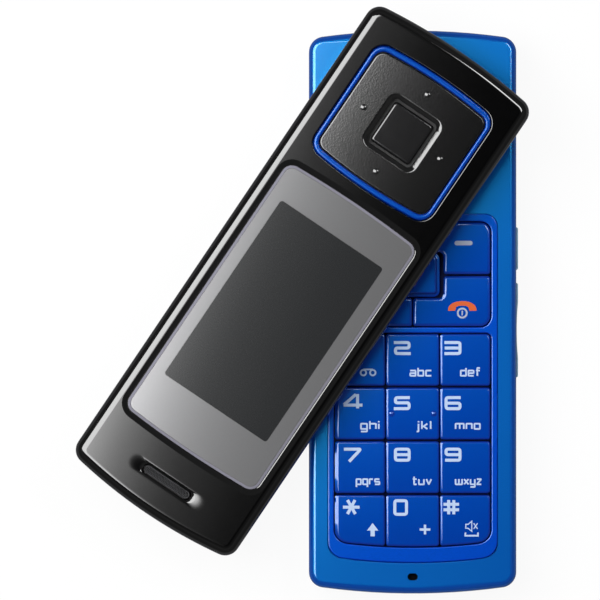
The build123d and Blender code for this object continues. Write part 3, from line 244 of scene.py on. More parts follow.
def soft_box(name, side, lean, reach, width, length, radiance, rise):
    """Rectangular lamp leaning over the telephone from one side.

    Its power is radiance times area times pi. Its brightness follows the levels of rise across its
    width, from the edge nearest the zenith outwards.
    """
    lamp = bpy.data.lights.new(name, "AREA")
    lamp.shape = "RECTANGLE"
    lamp.size = width
    lamp.size_y = length
    lamp.energy = radiance * width * length * math.pi
    lamp.use_nodes = True
    glow = Finish(name, lamp.node_tree)
    across = glow.part(glow.node("ShaderNodeNewGeometry", output="Parametric"), 0)
    tone = glow.node("ShaderNodeValToRGB", {"stops": grey_stops(rise)}, {0: across})
    light = glow.node("ShaderNodeEmission", None, {"Color": tone, "Strength": 1.0})
    glow.node("ShaderNodeOutputLight", None, {"Surface": light})
    out = side * math.sin(lean) + Vector((0, 0, math.cos(lean)))
    away = side * math.cos(lean) - Vector((0, 0, math.sin(lean)))
    stand = Matrix((away, out.cross(away), out)).transposed().to_4x4()
    stand.translation = out * reach
    box = bpy.data.objects.new(name, lamp)
    box.matrix_world = stand
    box.visible_camera = False
    bpy.context.scene.collection.objects.link(box)


soft_box("main_box", light_side, box_lean, box_reach, box_width, box_length, box_radiance, box_rise)
soft_box("strip_box", strip_side, strip_lean, strip_reach, strip_width, strip_length,
         strip_radiance, strip_rise)

surround = bpy.data.worlds.new("surround")
surround.use_nodes = True
sky = Finish("surround", surround.node_tree)
height = sky.part(sky.node("ShaderNodeTexCoord", output="Generated"), 2)
tone = sky.node("ShaderNodeValToRGB", {"stops": grey_stops(surround_levels)}, {0: height})
camera_ray = sky.node("ShaderNodeLightPath", output="Is Camera Ray")
backdrop = sky.node("ShaderNodeBackground", None,
                    {"Color": sky.blend(camera_ray, tone, (1, 1, 1, 1))})
sky.node("ShaderNodeOutputWorld", None, {"Surface": backdrop})
bpy.context.scene.world = surround

# ---- Base shells and battery cover ----
# Two moulded shells that meet at a bevelled joint line, and a sliding cover over the battery.
# All three are sprayed with a blue lacquer full of fine metallic flakes.
flake_scale = 9000.0         # flakes per metre
flake_share = 0.5            # of the surface, on average
flake_spread = 0.25          # to each side of it
flake_relief = 0.0000008
cloud_scale = 45.0           # clouds per metre in the gloss
cloud_reach = 0.02           # of them in roughness, to each side
coat_roughness = 0.04
body_deep = (0.0003, 0.062, 0.47, 1)
body_flake = (0.006, 0.150, 0.30, 1)
housing_edge = 0.16          # rounding of a moulded edge
weld_reach = 0.000001
flat_turn = math.radians(0.5)   # faces that turn by less than this become one
edge_turn = math.radians(40)    # edges sharper than this are rounded


def lacquer(name, deep, bright, roughness, coat):
    """Metallic lacquer: bright flakes in a deep coloured ground, both under a clear coat."""
    paint = Finish(name)
    spot = paint.place()
    flakes = paint.noise(spot, flake_scale, 1.0)
    cloud = paint.noise(spot, cloud_scale)
    shared = {"Specular_IOR_Level": 0.0, "Coat_Weight": coat, "Coat_Roughness": coat_roughness,
              "Roughness": paint.spread(cloud, roughness - cloud_reach, roughness + cloud_reach),
              "Normal": paint.bump(flakes, flake_relief)}
    ground = paint.principled(Base_Color=deep, Metallic=0.0, **shared)
    metal = paint.principled(Base_Color=bright, Metallic=1.0, **shared)
    share = paint.spread(flakes, flake_share - flake_spread, flake_share + flake_spread)
    return paint.close(paint.node("ShaderNodeMixShader", None, {0: share, 1: ground, 2: metal}))


def dress(finish, *names):
    """Gives CAD pieces a finish."""
    for name in names:
        slots = frame["nodes"][name].data.materials
        slots.clear()
        slots.append(finish.material)


def soften(width, *names):
    """Small rounded bevel, in millimetres, on a CAD piece's sharp edges."""
    for name in names:
        weld = frame["nodes"][name].modifiers.new("weld", "WELD")
        weld.merge_threshold = weld_reach
        merge = frame["nodes"][name].modifiers.new("merge", "DECIMATE")
        merge.decimate_type = "DISSOLVE"
        merge.angle_limit = flat_turn
        bevel = frame["nodes"][name].modifiers.new("edge", "BEVEL")
        bevel.offset_type = "ABSOLUTE"
        bevel.width = width * mm
        bevel.segments = 2
        bevel.limit_method = "ANGLE"
        bevel.angle_limit = edge_turn
        bevel.harden_normals = True
        bevel.use_clamp_overlap = False


body_blue = lacquer("blue_lacquer", body_deep, body_flake, 0.25, 0.8)
dress(body_blue, "base_front_housing", "base_rear_housing", "battery_cover")
soften(housing_edge, "base_front_housing", "base_rear_housing", "battery_cover")

# ---- Battery, sockets and small components of the base ----
# The lithium cell is wrapped in grey film and touches three spring blades in a black block. The
# sockets are stamped steel, the antenna, loudspeaker and camera are black resin, and felt lies over
# the microphone.
wrap_tone = (0.055, 0.057, 0.062, 1)
wrap_light = (0.075, 0.077, 0.082, 1)
lines_along = 120.0          # grain lines per metre, along the rolling and across it
lines_across = 4200.0
line_reach = 0.06            # of the lines in roughness, to each side
line_relief = 0.000002
pit_reach = 0.05             # of a moulded grain in roughness, to each side


def brushed(name, tone, light, along, roughness):
    """Rolled metal: fine grain lines, long in one direction, in colour, gloss and relief."""
    metal = Finish(name)
    stretch = tuple(lines_along if axis == along else lines_across for axis in range(3))
    lines = metal.noise(metal.place(scale=stretch), 1.0, 3.0)
    return metal.shade(Base_Color=metal.blend(lines, tone, light), Metallic=1.0,
                       Roughness=metal.spread(lines, roughness - line_reach, roughness + line_reach),
                       Normal=metal.bump(lines, line_relief))


def moulded(name, tone, light, grain_scale, roughness, relief=0.000004, **more):
    """Moulded plastic or rubber: a fine even grain in colour, gloss and relief."""
    plastic = Finish(name)
    pits = plastic.noise(plastic.place(), grain_scale, 3.0)
    return plastic.shade(Base_Color=plastic.blend(pits, tone, light),
                         Roughness=plastic.spread(pits, roughness - pit_reach, roughness + pit_reach),
                         Normal=plastic.bump(pits, relief), **more)


wrap_film = moulded("battery_film", wrap_tone, wrap_light, 700.0, 0.4)
black_resin = moulded("black_resin", (0.010, 0.010, 0.011, 1), (0.018, 0.018, 0.019, 1), 2600.0, 0.5)
plain_steel = brushed("rolled_steel", (0.50, 0.51, 0.53, 1), (0.66, 0.67, 0.69, 1), 1, 0.3)
felt = moulded("black_felt", (0.001, 0.001, 0.0012, 1), (0.002, 0.002, 0.0022, 1), 2600.0, 0.8,
               Specular_IOR_Level=0.05)
dress(wrap_film, "battery")
dress(black_resin, "battery_connector", "antenna", "loudspeaker", "camera_module")
dress(felt, "microphone")
dress(plain_steel, "sim_socket", "io_connector")
soften(0.2, "battery")
soften(0.06, "battery_connector", "antenna", "microphone", "camera_module", "sim_socket")

# ---- Board, shield cans, motor and key sheets of the base ----
# A green solder-masked board carries tinned shield cans, a film of snap domes and the silicone
# sheet under the keys. The camera's window is smoked glass.
mask_green = (0.006, 0.060, 0.022, 1)
track_green = (0.012, 0.105, 0.035, 1)
pad_gold = (0.55, 0.36, 0.09, 1)

board_finish = Finish("solder_masked_board")
spot = board_finish.place()
lanes = board_finish.waves(spot, 420.0) * board_finish.waves(spot, 160.0, "Y")
tracks = board_finish.spread(lanes, 0.0, 1.0, 0.30, 0.36)
pads = board_finish.spread(board_finish.cells(spot, 460.0), 1.0, 0.0, 0.14, 0.18)
green = board_finish.blend(tracks, mask_green, track_green)
board_finish.shade(Base_Color=board_finish.blend(pads, green, pad_gold), Metallic=pads * 0.9,
                   Roughness=board_finish.spread(pads, 0.42, 0.25),
                   Normal=board_finish.bump(tracks + pads, 0.00002))
tin = brushed("tinned_sheet", (0.58, 0.58, 0.57, 1), (0.74, 0.74, 0.73, 1), 0, 0.34)
silicone = moulded("navy_silicone", (0.0016, 0.0060, 0.045, 1), (0.0024, 0.0080, 0.060, 1), 1300.0,
                   0.6, Specular_IOR_Level=0.1)
dome_film = moulded("dome_film", (0.62, 0.60, 0.54, 1), (0.70, 0.68, 0.62, 1), 900.0, 0.35)
smoked_glass = moulded("smoked_glass", (0.004, 0.004, 0.006, 1), (0.006, 0.006, 0.009, 1), 500.0,
                       0.09, 0.0)
dress(board_finish, "main_pcb")
dress(tin, "shield_cans", "vibration_motor")
dress(silicone, "keypad_membrane")
dress(dome_film, "dome_sheet")
dress(smoked_glass, "camera_window")
soften(0.08, "shield_cans")
soften(0.1, "camera_window", "keypad_membrane")

# ---- Swivel and screws ----
# Turned and stamped steel: fixed plate, hollow shaft, stop washer and wave spring, with a polyimide
# ribbon cable through the bore. Cross-head screws hold the plate and the shells.
spring_steel = brushed("spring_steel", (0.34, 0.33, 0.31, 1), (0.46, 0.45, 0.43, 1), 0, 0.26)
turned_steel = brushed("turned_steel", (0.42, 0.43, 0.45, 1), (0.60, 0.61, 0.63, 1), 2, 0.24)
amber_film = Finish("amber_ribbon")
strands = amber_film.waves(amber_film.place(), 900.0)
copper = amber_film.spread(strands, 0.0, 1.0, 0.55, 0.7)
amber_film.shade(Base_Color=amber_film.blend(copper, (0.42, 0.16, 0.02, 1), (0.55, 0.27, 0.06, 1)),
                 Metallic=copper * 0.6, Roughness=amber_film.spread(strands, 0.30, 0.38),
                 Normal=amber_film.bump(copper, 0.00001))
dress(turned_steel, "hinge_stator_plate", "hinge_rotor", "hinge_stop_washer")
dress(spring_steel, "hinge_wave_spring", "base_screws", "hinge_plate_screws", "cover_screws")
dress(amber_film, "hinge_flex_lower", "hinge_flex_upper")
soften(0.08, "hinge_stator_plate", "hinge_rotor", "base_screws", "cover_screws")

# ---- Side keys and socket flap ----
# Moulded keys in a pale metallic blue stand a little out of the right wall. The flap over the
# socket is a soft plastic in deep blue.
side_deep = (0.10, 0.26, 0.42, 1)
side_flake = (0.30, 0.48, 0.62, 1)

side_blue = lacquer("side_lacquer", side_deep, side_flake, 0.34, 0.8)
flap_blue = moulded("soft_blue", (0.0006, 0.034, 0.20, 1), (0.002, 0.048, 0.25, 1), 1500.0, 0.45)
dress(side_blue, "volume_key", "camera_key")
dress(flap_blue, "port_cover")
soften(0.12, "volume_key", "camera_key")
soften(0.2, "port_cover")

# ---- Keypad bezel ----
# A lacquered frame a little below the housing's face, held by a flange underneath, with one
# opening for the upper keys and one for the numeric keys. Its lower end is bowed.
panel_flange = 0.6
panel_flange_thickness = 0.4
panel_gap = 0.05
panel_bow = 87.0
panel_low_corner = 2.3
panel_top_corner = 2.0
tab_half = 7.4
tab_length = 2.0
tab_corner = 0.1
web_side = 1.0
web_top = 1.2
web_middle = 0.85
web_low = 2.35
upper_opening_length = 16.35
upper_corner = 1.7
numeric_top_corner = 0.9
numeric_low_corner = 2.0
bezel_edge = 0.14
rest = 0.08                  # of flat surface beyond a rounded edge, which keeps its shading even
trim_deep = (0.0003, 0.054, 0.70, 1)
trim_flake = (0.002, 0.062, 0.16, 1)
crease = math.radians(35)    # edges sharper than this stay sharp
least_corner = 0.02          # radius that a corner keeps where an inset would use it up
bowed_points = 24            # along a side that is bowed
grid_gap = 0.4               # least distance of a grid's point from the loops, in steps
same_place = 1e-6            # points of a face closer than this are one, in millimetres
join_reach = 1e-7            # points of a mesh closer than this are one, in metres
dome_rings = 7
dome_top = 0.08              # radius of a dome's flat top, in the dome's own


def inside(points, *loops):
    """Even-odd test: a point is inside where the sides of the loops to its right are odd."""
    crossings = np.zeros(len(points), int)
    for loop in loops:
        start = loop[:, :2]
        stop = np.roll(start, -1, axis=0)
        x, y = points[:, :1], points[:, 1:2]
        spans = (start[:, 1] > y) != (stop[:, 1] > y)
        rise = np.where(stop[:, 1] == start[:, 1], 1.0, stop[:, 1] - start[:, 1])
        meet = start[:, 0] + (y - start[:, 1]) / rise * (stop[:, 0] - start[:, 0])
        crossings += (spans & (meet > x)).sum(axis=1)
    return crossings % 2 == 1


class Shell:
    """Points and faces of one piece, in millimetres; each form added brings its own points.

    Loops run counter-clockwise seen from above, and a band's loops follow the surface up an outer
    wall, inwards over the top and down into a hole, so that its faces point outwards.
    """

    def __init__(self):
        self.points = np.zeros((0, 3))
        self.faces = []

    def add(self, points, faces):
        """Adds points, and an array of faces that are counted from the first of them."""
        self.faces += (np.asarray(faces) + len(self.points)).tolist()
        self.points = np.vstack([self.points, points])

    def band(self, rings):
        """Skin over closed loops, an array (loops, points, 3): a quad for each side of a loop."""
        rings = np.asarray(rings, float)
        count, size = rings.shape[:2]
        row = np.arange(count - 1)[:, None] * size
        near = np.arange(size)[None, :]
        far = (near + 1) % size
        quads = np.stack([row + near, row + far, row + size + far, row + size + near], axis=-1)
        self.add(rings.reshape(-1, 3), quads.reshape(-1, 4))

    def fill(self, loops, height, step=0.0, up=True):
        """Face between an outer loop and its holes, in triangles that keep the loops' points.

        The height is a number or a function of the places, and a step adds a grid of points.
        """
        loops = [np.asarray(loop, float)[:, :2] for loop in loops]
        starts = np.cumsum([0] + [len(loop) for loop in loops])
        sides = [np.stack([np.arange(len(loop)), (np.arange(len(loop)) + 1) % len(loop)], 1) + start
                 for loop, start in zip(loops, starts)]
        points = np.vstack(loops)
        if step:
            low, high = points.min(axis=0), points.max(axis=0)
            counts = np.maximum(((high - low) / step).astype(int), 1)
            grid = [np.linspace(a, b, n + 1)[1:-1] for a, b, n in zip(low, high, counts)]
            spots = np.stack(np.meshgrid(*grid), axis=-1).reshape(-1, 2)
            gaps = np.linalg.norm(spots[:, None] - points[None], axis=-1).min(axis=1)
            points = np.vstack([points, spots[(gaps > grid_gap * step) & inside(spots, *loops)]])
        flat = [Vector(spot) for spot in points.tolist()]
        found = delaunay_2d_cdt(flat, np.vstack(sides).tolist(), [], 0, same_place)
        spots = np.array([tuple(spot) for spot in found[0]])
        faces = np.array(found[2])
        faces = faces[inside(spots[faces].mean(axis=1), *loops)]
        first, second, third = (spots[faces[:, k]] for k in range(3))
        one, two = second - first, third - first
        turned = one[:, 0] * two[:, 1] - one[:, 1] * two[:, 0] < 0
        flip = turned if up else ~turned
        faces[flip] = faces[flip][:, ::-1]
        level = height(spots) if callable(height) else np.full(len(spots), height)
        self.add(np.column_stack([spots, level]), faces)

    def lid(self, ring, up=True):
        """One flat face over a loop."""
        order = np.arange(len(ring))[None, :]
        self.add(np.asarray(ring, float), order if up else order[:, ::-1])

    def closed(self, rings):
        """Band over loops with a lid at each end."""
        self.lid(rings[0], up=False)
        self.band(rings)
        self.lid(rings[-1])

    def dome(self, x, y, base, radius, height, sides=24):
        """Low round dome, height times 1 - (r / radius)^2 at r from its middle, on a sunken foot."""
        turn = np.linspace(0, 2 * math.pi, sides, endpoint=False)
        out = np.append(1.0, np.linspace(1.0, dome_top, dome_rings)) * radius
        level = base + height * (1 - (out / radius)**2)
        level[0] -= height
        rings = np.empty((len(out), sides, 3))
        rings[..., 0] = x + out[:, None] * np.cos(turn)
        rings[..., 1] = y + out[:, None] * np.sin(turn)
        rings[..., 2] = level[:, None]
        self.closed(rings)

    def piece(self, name, finish, body, slot, *nodes, place=None, fold=crease):
        """Mesh and object of the piece: it rides on a body and may stand for CAD nodes.

        Edges that turn by more than fold stay sharp.
        """
        points = self.points if place is None else place(self.points)
        mesh = bpy.data.meshes.new(name)
        mesh.from_pydata((points * mm).tolist(), [], self.faces)
        joined = bmesh.new()
        joined.from_mesh(mesh)
        bmesh.ops.remove_doubles(joined, verts=joined.verts, dist=join_reach)
        joined.to_mesh(mesh)
        joined.free()
        mesh.shade_smooth()
        mesh.set_sharp_from_angle(angle=fold)
        mesh.materials.append(finish.material)
        made = bpy.data.objects.new(name, mesh)
        bpy.context.scene.collection.objects.link(made)
        even = made.modifiers.new("even_shading", "WEIGHTED_NORMAL")
        even.keep_sharp = True
        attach(made, body)
        if nodes:
            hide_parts(*nodes)
        return made


def span(name):
    """Lowest and highest corner of a CAD node, in millimetres."""
    low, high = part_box(name)
    return np.array(low) / mm, np.array(high) / mm


def rounded_polygon(corners, radii, inset=0.0, drop=0.0, steps=7, between=3):
    """Loop (points, 3) of a polygon with square corners, moved inwards by inset.

    Each corner is an arc: its radius shrinks with the inset at an outer corner and grows at an
    inner one. Inset and drop may differ from side to side; z is minus the drop, blended along
    the arcs. Side k leads from corner k to the next.
    """
    corners = np.asarray(corners, float)
    count = len(corners)
    inset = np.broadcast_to(inset, count)
    drop = np.broadcast_to(drop, count)
    ahead = np.roll(corners, -1, axis=0) - corners
    ahead = ahead / np.linalg.norm(ahead, axis=1, keepdims=True)
    behind = np.roll(ahead, 1, axis=0)
    turn = np.sign(behind[:, 0] * ahead[:, 1] - behind[:, 1] * ahead[:, 0])[:, None]
    inner_ahead = np.stack([-ahead[:, 1], ahead[:, 0]], 1)
    inner_behind = np.roll(inner_ahead, 1, axis=0)
    before, after = np.roll(inset, 1)[:, None], inset[:, None]
    radius = np.broadcast_to(radii, count)[:, None] - turn * np.minimum(before, after)
    radius = np.maximum(radius, least_corner)
    moved = corners + inner_behind * before + inner_ahead * after
    centre = moved + turn * radius * (inner_behind + inner_ahead)
    share = np.linspace(0, 1, steps)
    start = np.arctan2(-turn[:, 0] * inner_behind[:, 1], -turn[:, 0] * inner_behind[:, 0])
    angle = start[:, None] + share[None, :] * turn * math.pi / 2
    arcs = np.empty((count, steps, 3))
    arcs[..., 0] = centre[:, :1] + radius * np.cos(angle)
    arcs[..., 1] = centre[:, 1:] + radius * np.sin(angle)
    arcs[..., 2] = -(np.roll(drop, 1)[:, None] * (1 - share) + drop[:, None] * share)
    along = np.linspace(0, 1, between + 2)[1:-1][None, :, None]
    sides = arcs[:, -1:] * (1 - along) + np.roll(arcs[:, :1], -1, axis=0) * along
    return np.concatenate([arcs, sides], axis=1).reshape(-1, 3)


def eased(radius, steps=4):
    """Quarter-round edge as (inset, drop) pairs from the wall to the face."""
    turn = np.linspace(0, math.pi / 2, steps)
    return list(zip(radius * (1 - np.cos(turn)), radius * (1 - np.sin(turn))))


def stacked(loop, levels):
    """Rings (levels, points, 3) of a loop function at (inset, height) levels."""
    rings = [loop(inset)[:, :2] for inset, _ in levels]
    return np.array([np.column_stack([ring, np.full(len(ring), height)])
                     for ring, (_, height) in zip(rings, levels)])


bezel_low, bezel_high = span("keypad_bezel")
panel_half = bezel_high[0] - panel_flange
panel_low = bezel_low[1] + panel_flange
panel_top = bezel_high[1] - panel_flange - tab_length
opening_half = panel_half - web_side
upper_high = panel_top - web_top
upper_low = upper_high - upper_opening_length
numeric_high = upper_low - web_middle
numeric_low = panel_low + web_low
last_row_high = span("key_0")[1][1]


def bowed(points):
    """Lower end of the keypad bowed: y grows by the rise of the arc, fully at the lower edge."""
    bent = np.array(points, float)
    weight = np.clip((last_row_high - bent[..., 1]) / (last_row_high - numeric_low), 0, 1)
    bent[..., 1] += (panel_bow - np.sqrt(panel_bow**2 - bent[..., 0]**2)) * weight
    return bent


def box_corners(x_low, x_high, y_low, y_high):
    """Corners of an upright rectangle, counter-clockwise from the lower left."""
    return [(x_low, y_low), (x_high, y_low), (x_high, y_high), (x_low, y_high)]


def panel_loop(inset):
    """Outline of the bezel with the tab at its upper edge."""
    tab_top = panel_top + tab_length
    corners = [(-panel_half, panel_low), (panel_half, panel_low), (panel_half, panel_top),
               (tab_half, panel_top), (tab_half, tab_top), (-tab_half, tab_top),
               (-tab_half, panel_top), (-panel_half, panel_top)]
    radii = [panel_low_corner, panel_low_corner, panel_top_corner, tab_corner, tab_corner,
             tab_corner, tab_corner, panel_top_corner]
    return bowed(rounded_polygon(corners, radii, inset, between=bowed_points))


def upper_loop(inset):
    """Outline of the upper keys' opening."""
    corners = box_corners(-opening_half, opening_half, upper_low, upper_high)
    return rounded_polygon(corners, upper_corner, inset)


def numeric_loop(inset):
    """Outline of the numeric keys' opening."""
    corners = box_corners(-opening_half, opening_half, numeric_low, numeric_high)
    radii = [numeric_low_corner, numeric_low_corner, numeric_top_corner, numeric_top_corner]
    return bowed(rounded_polygon(corners, radii, inset, between=bowed_points))


bezel = Shell()
flange_top = bezel_low[2] + panel_flange_thickness
wall = [(-panel_flange, bezel_low[2]), (-panel_flange, flange_top), (panel_gap, flange_top)]
wall += [(panel_gap + inset, bezel_high[2] - drop) for inset, drop in eased(bezel_edge)]
wall.append((panel_gap + bezel_edge + rest, bezel_high[2]))
bezel.band(stacked(panel_loop, wall))
hole = [(-bezel_edge - rest, bezel_high[2])]
hole += [(-inset, bezel_high[2] - drop) for inset, drop in reversed(eased(bezel_edge))]
hole.append((0, bezel_low[2]))
for opening in (upper_loop, numeric_loop):
    bezel.band(stacked(opening, hole))
bezel.fill([panel_loop(wall[-1][0]), upper_loop(hole[0][0]), numeric_loop(hole[0][0])],
           bezel_high[2])
bezel.fill([panel_loop(-panel_flange), upper_loop(0), numeric_loop(0)], bezel_low[2], up=False)
trim_blue = lacquer("trim_lacquer", trim_deep, trim_flake, 0.27, 1.0)
bezel.piece("bezel_frame", trim_blue, "base", "blue_trim", "keypad_bezel")

# ---- Numeric keys ----
# Twelve moulded caps of deep blue lacquer, crowned along the telephone, each with a broad bevel on
# its left edge. The cap in the middle has two raised pips.
key_corner = 0.48
crown_radius = 100.0
border_gap = 0.15            # between a block of keys and its opening
edge_levels = [(0.0, None), (0.0, 0.26), (0.04, 0.12), (0.13, 0.045), (0.28, 0.0), (0.36, 0.0)]
left_slope = 0.20            # of the bevel on left edges
left_foot = 0.015            # breadth and rise of its lower rounding
left_rest = 0.02             # rise and breadth of its upper rounding
left_ease = 0.08
first_bevel = 0.50           # breadth of the bevel in the first column, and in the others
other_bevel = 0.28
pip_radius = 0.48
pip_height = 0.15
pip_reach = 3.25
face_step = 0.9              # of the grid of points on a crowned face
key_deep = (0.0003, 0.038, 0.465, 1)
key_flake = (0.001, 0.046, 0.141, 1)


def key_cap(corners, radii, low, high, bevel, ease=1.0, shape=np.array):
    """Key from its plan: wall, edges eased in this measure, a bevel on left sides, crowned top."""
    corners = np.asarray(corners, float)
    left = (np.roll(corners, -1, axis=0) - corners)[:, 1] < 0
    middle = (corners[:, 1].min() + corners[:, 1].max()) / 2
    crown = lambda spots: high - (spots[..., 1] - middle)**2 / (2 * crown_radius)
    fall = left_rest + left_slope * (bevel - left_ease - left_foot)
    left_levels = [(0.0, None), (0.0, fall + left_foot), (left_foot, fall),
                   (bevel - left_ease, left_rest), (bevel, 0.0), (bevel + rest, 0.0)]
    rings = []
    for (inset, drop), (left_inset, left_drop) in zip(edge_levels, left_levels):
        insets = np.where(left, left_inset, inset * ease)
        if drop is None:
            ring = shape(rounded_polygon(corners, radii, insets))
            ring[:, 2] = low
        else:
            ring = shape(rounded_polygon(corners, radii, insets, np.where(left, left_drop, drop)))
            ring[:, 2] += crown(ring)
        rings.append(ring)
    cap = Shell()
    cap.lid(rings[0], up=False)
    cap.band(rings)
    cap.fill([rings[-1]], crown, step=face_step)
    return cap, crown


key_blue = lacquer("key_lacquer", key_deep, key_flake, 0.28, 1.0)
numeric_names = ["1", "2", "3", "4", "5", "6", "7", "8", "9", "star", "0", "hash"]
block_low = span("key_0")[0][1]
crowns = {}
for index, name in enumerate(numeric_names):
    row, column = divmod(index, 3)
    low, high = span("key_" + name)
    radii = [key_corner] * 4
    if row == 3 and column != 1:
        radii[column // 2] = numeric_low_corner - border_gap
    if row == 0 and column != 1:
        radii[3 - column // 2] = numeric_top_corner - border_gap
    top = high[2] - (pip_height if name == "5" else 0)
    y_low = block_low if row == 3 else low[1]
    y_high = last_row_high if row == 3 else high[1]
    corners = box_corners(low[0], high[0], y_low, y_high)
    cap, crowns["key_" + name] = key_cap(corners, radii, low[2], top,
                                         other_bevel if column else first_bevel,
                                         shape=bowed if row == 3 else np.array)
    if name == "5":
        for side in (-1, 1):
            cap.dome(side * pip_reach, (y_low + y_high) / 2, top, pip_radius, pip_height)
    cap.piece("key_cap_" + name, key_blue, "key_" + name, "blue_keys", "key_" + name)

# ---- Soft keys, call keys and clear key ----
# Four L-shaped caps lie round the clear key, whose skirt fills the gap between them. They are
# moulded and lacquered as the numeric keys are.
inner_corner = 0.75
clear_corner = 0.5
clear_edge = 0.3             # rounding of the clear key's cap
clear_foot = 0.12            # breadth and rise of the slope from its skirt up to its cap
foot_round = 0.03
clear_skirt = 0.5            # how far the skirt reaches beyond the cap
skirt_drop = 0.6
skirt_edge = 0.15
corner_bevel = 0.38
corner_ease = 1.4
call_low, call_high = span("end_key")
soft_low, soft_high = span("right_soft_key")
clear_low, clear_high = span("clear_key")
column_gap = call_low[0]     # half the gap between the left and right keys
side_gap = 0.57              # between the skirt and the outer blocks
arm_gap = 0.15               # between the skirt and the arms
side_column = clear_high[0] + side_gap
big_corner = upper_corner - border_gap


def corner_key(name, side, outer, arm):
    """L-shaped key on one side: the outer block spans outer, the arm spans arm, along y."""
    low, high = span(name)
    near, middle, far = column_gap, side_column, opening_half - border_gap
    if outer[1] == arm[1]:
        edge = upper_high - border_gap
        corners = [(middle, outer[0]), (far, outer[0]), (far, edge), (near, edge), (near, arm[0]),
                   (middle, arm[0])]
        radii = [key_corner, key_corner, big_corner, key_corner, key_corner, inner_corner]
    else:
        edge = upper_low + border_gap
        corners = [(near, edge), (far, edge), (far, outer[1]), (middle, outer[1]), (middle, arm[1]),
                   (near, arm[1])]
        radii = [key_corner, big_corner, key_corner, key_corner, inner_corner, key_corner]
    if side < 0:
        corners = [(-x, y) for x, y in reversed(corners)]
        radii = radii[::-1]
    cap, crowns[name] = key_cap(corners, radii, low[2], high[2], corner_bevel, corner_ease)
    cap.piece("cap_of_" + name, key_blue, name, "blue_keys", name)


arm_low = clear_high[1] + arm_gap
arm_high = clear_low[1] - arm_gap
for side, place in ((-1, "left"), (1, "right")):
    corner_key(place + "_soft_key", side, (soft_low[1], soft_high[1]), (arm_low, soft_high[1]))
for side, name in ((-1, "call_key"), (1, "end_key")):
    corner_key(name, side, (call_low[1], call_high[1]), (call_low[1], arm_high))

clear_corners = box_corners(clear_low[0] + clear_skirt, clear_high[0] - clear_skirt,
                            clear_low[1] + clear_skirt, clear_high[1] - clear_skirt)
clear_loop = lambda inset: rounded_polygon(clear_corners, clear_corner, inset)
skirt_high = clear_high[2] - skirt_drop
clear_levels = [(-clear_skirt, clear_low[2])]
clear_levels += [(inset - clear_skirt, skirt_high - drop) for inset, drop in eased(skirt_edge)]
clear_levels += [(-clear_foot, skirt_high), (-foot_round, skirt_high + foot_round),
                 (0, skirt_high + clear_foot)]
clear_levels += [(inset, clear_high[2] - drop) for inset, drop in eased(clear_edge, 6)]
clear_levels.append((clear_edge + rest, clear_high[2]))
clear_rings = stacked(clear_loop, clear_levels)
clear_key = Shell()
clear_key.lid(clear_rings[0], up=False)
clear_key.band(clear_rings)
clear_key.fill([clear_rings[-1]], clear_high[2])
clear_key.piece("cap_of_clear_key", key_blue, "clear_key", "blue_keys", "clear_key")

# ---- Legends ----
# Digits, letters and pictograms are printed on the caps in pale blue-grey, the call sign in green
# and the hang-up sign in orange, as a film of ink that stands a hair above the lacquer.
ink_lift = 0.02
ink_foot = 0.03
ink_step = 0.002             # of one printed line above the last, so that none share a face
digit_half = 0.23            # half the breadth of a digit's line
letter_half = 0.125
sign_half = 0.13             # of a pictogram's line, then of its bar, and of a bold and a fine line
bar_half = 0.12
bold_half = 0.18
fine_half = 0.08
corner_reach = 0.32          # of the rounding at a digit's corners, and at a letter's
letter_reach = 0.1
most_reach = 0.45            # of a rounding along one side, in the side's length
letter_gap = 1.9             # between letters, in steps of their grid
tiny = 1e-9                  # stands for the length of a side that has none
digit_rows = [-4.5, -13.0, -20.95, -28.9]
digit_columns = [-10.6, -2.9, 4.9]
word_rows = [-9.95, -18.15, -26.7]
word_rise = 1.05             # of a small letter


def round_path(points, reach, steps=4, closed=False):
    """Rounds each corner P of a path: (1-s)^2 A + 2s(1-s) P + s^2 B, A and B on its two sides."""
    points = np.asarray(points, float)
    sides = [np.roll(points, shift, axis=0) - points for shift in (1, -1)]
    ends = []
    for side in sides:
        length = np.linalg.norm(side, axis=1, keepdims=True)
        ends.append(points + side * np.minimum(reach / np.maximum(length, tiny), most_reach))
    s = np.linspace(0, 1, steps)[None, :, None]
    curve = ends[0][:, None] * (1 - s)**2 + 2 * s * (1 - s) * points[:, None] + ends[1][:, None] * s**2
    if closed:
        return curve.reshape(-1, 2)
    return np.vstack([points[:1], curve[1:-1].reshape(-1, 2), points[-1:]])


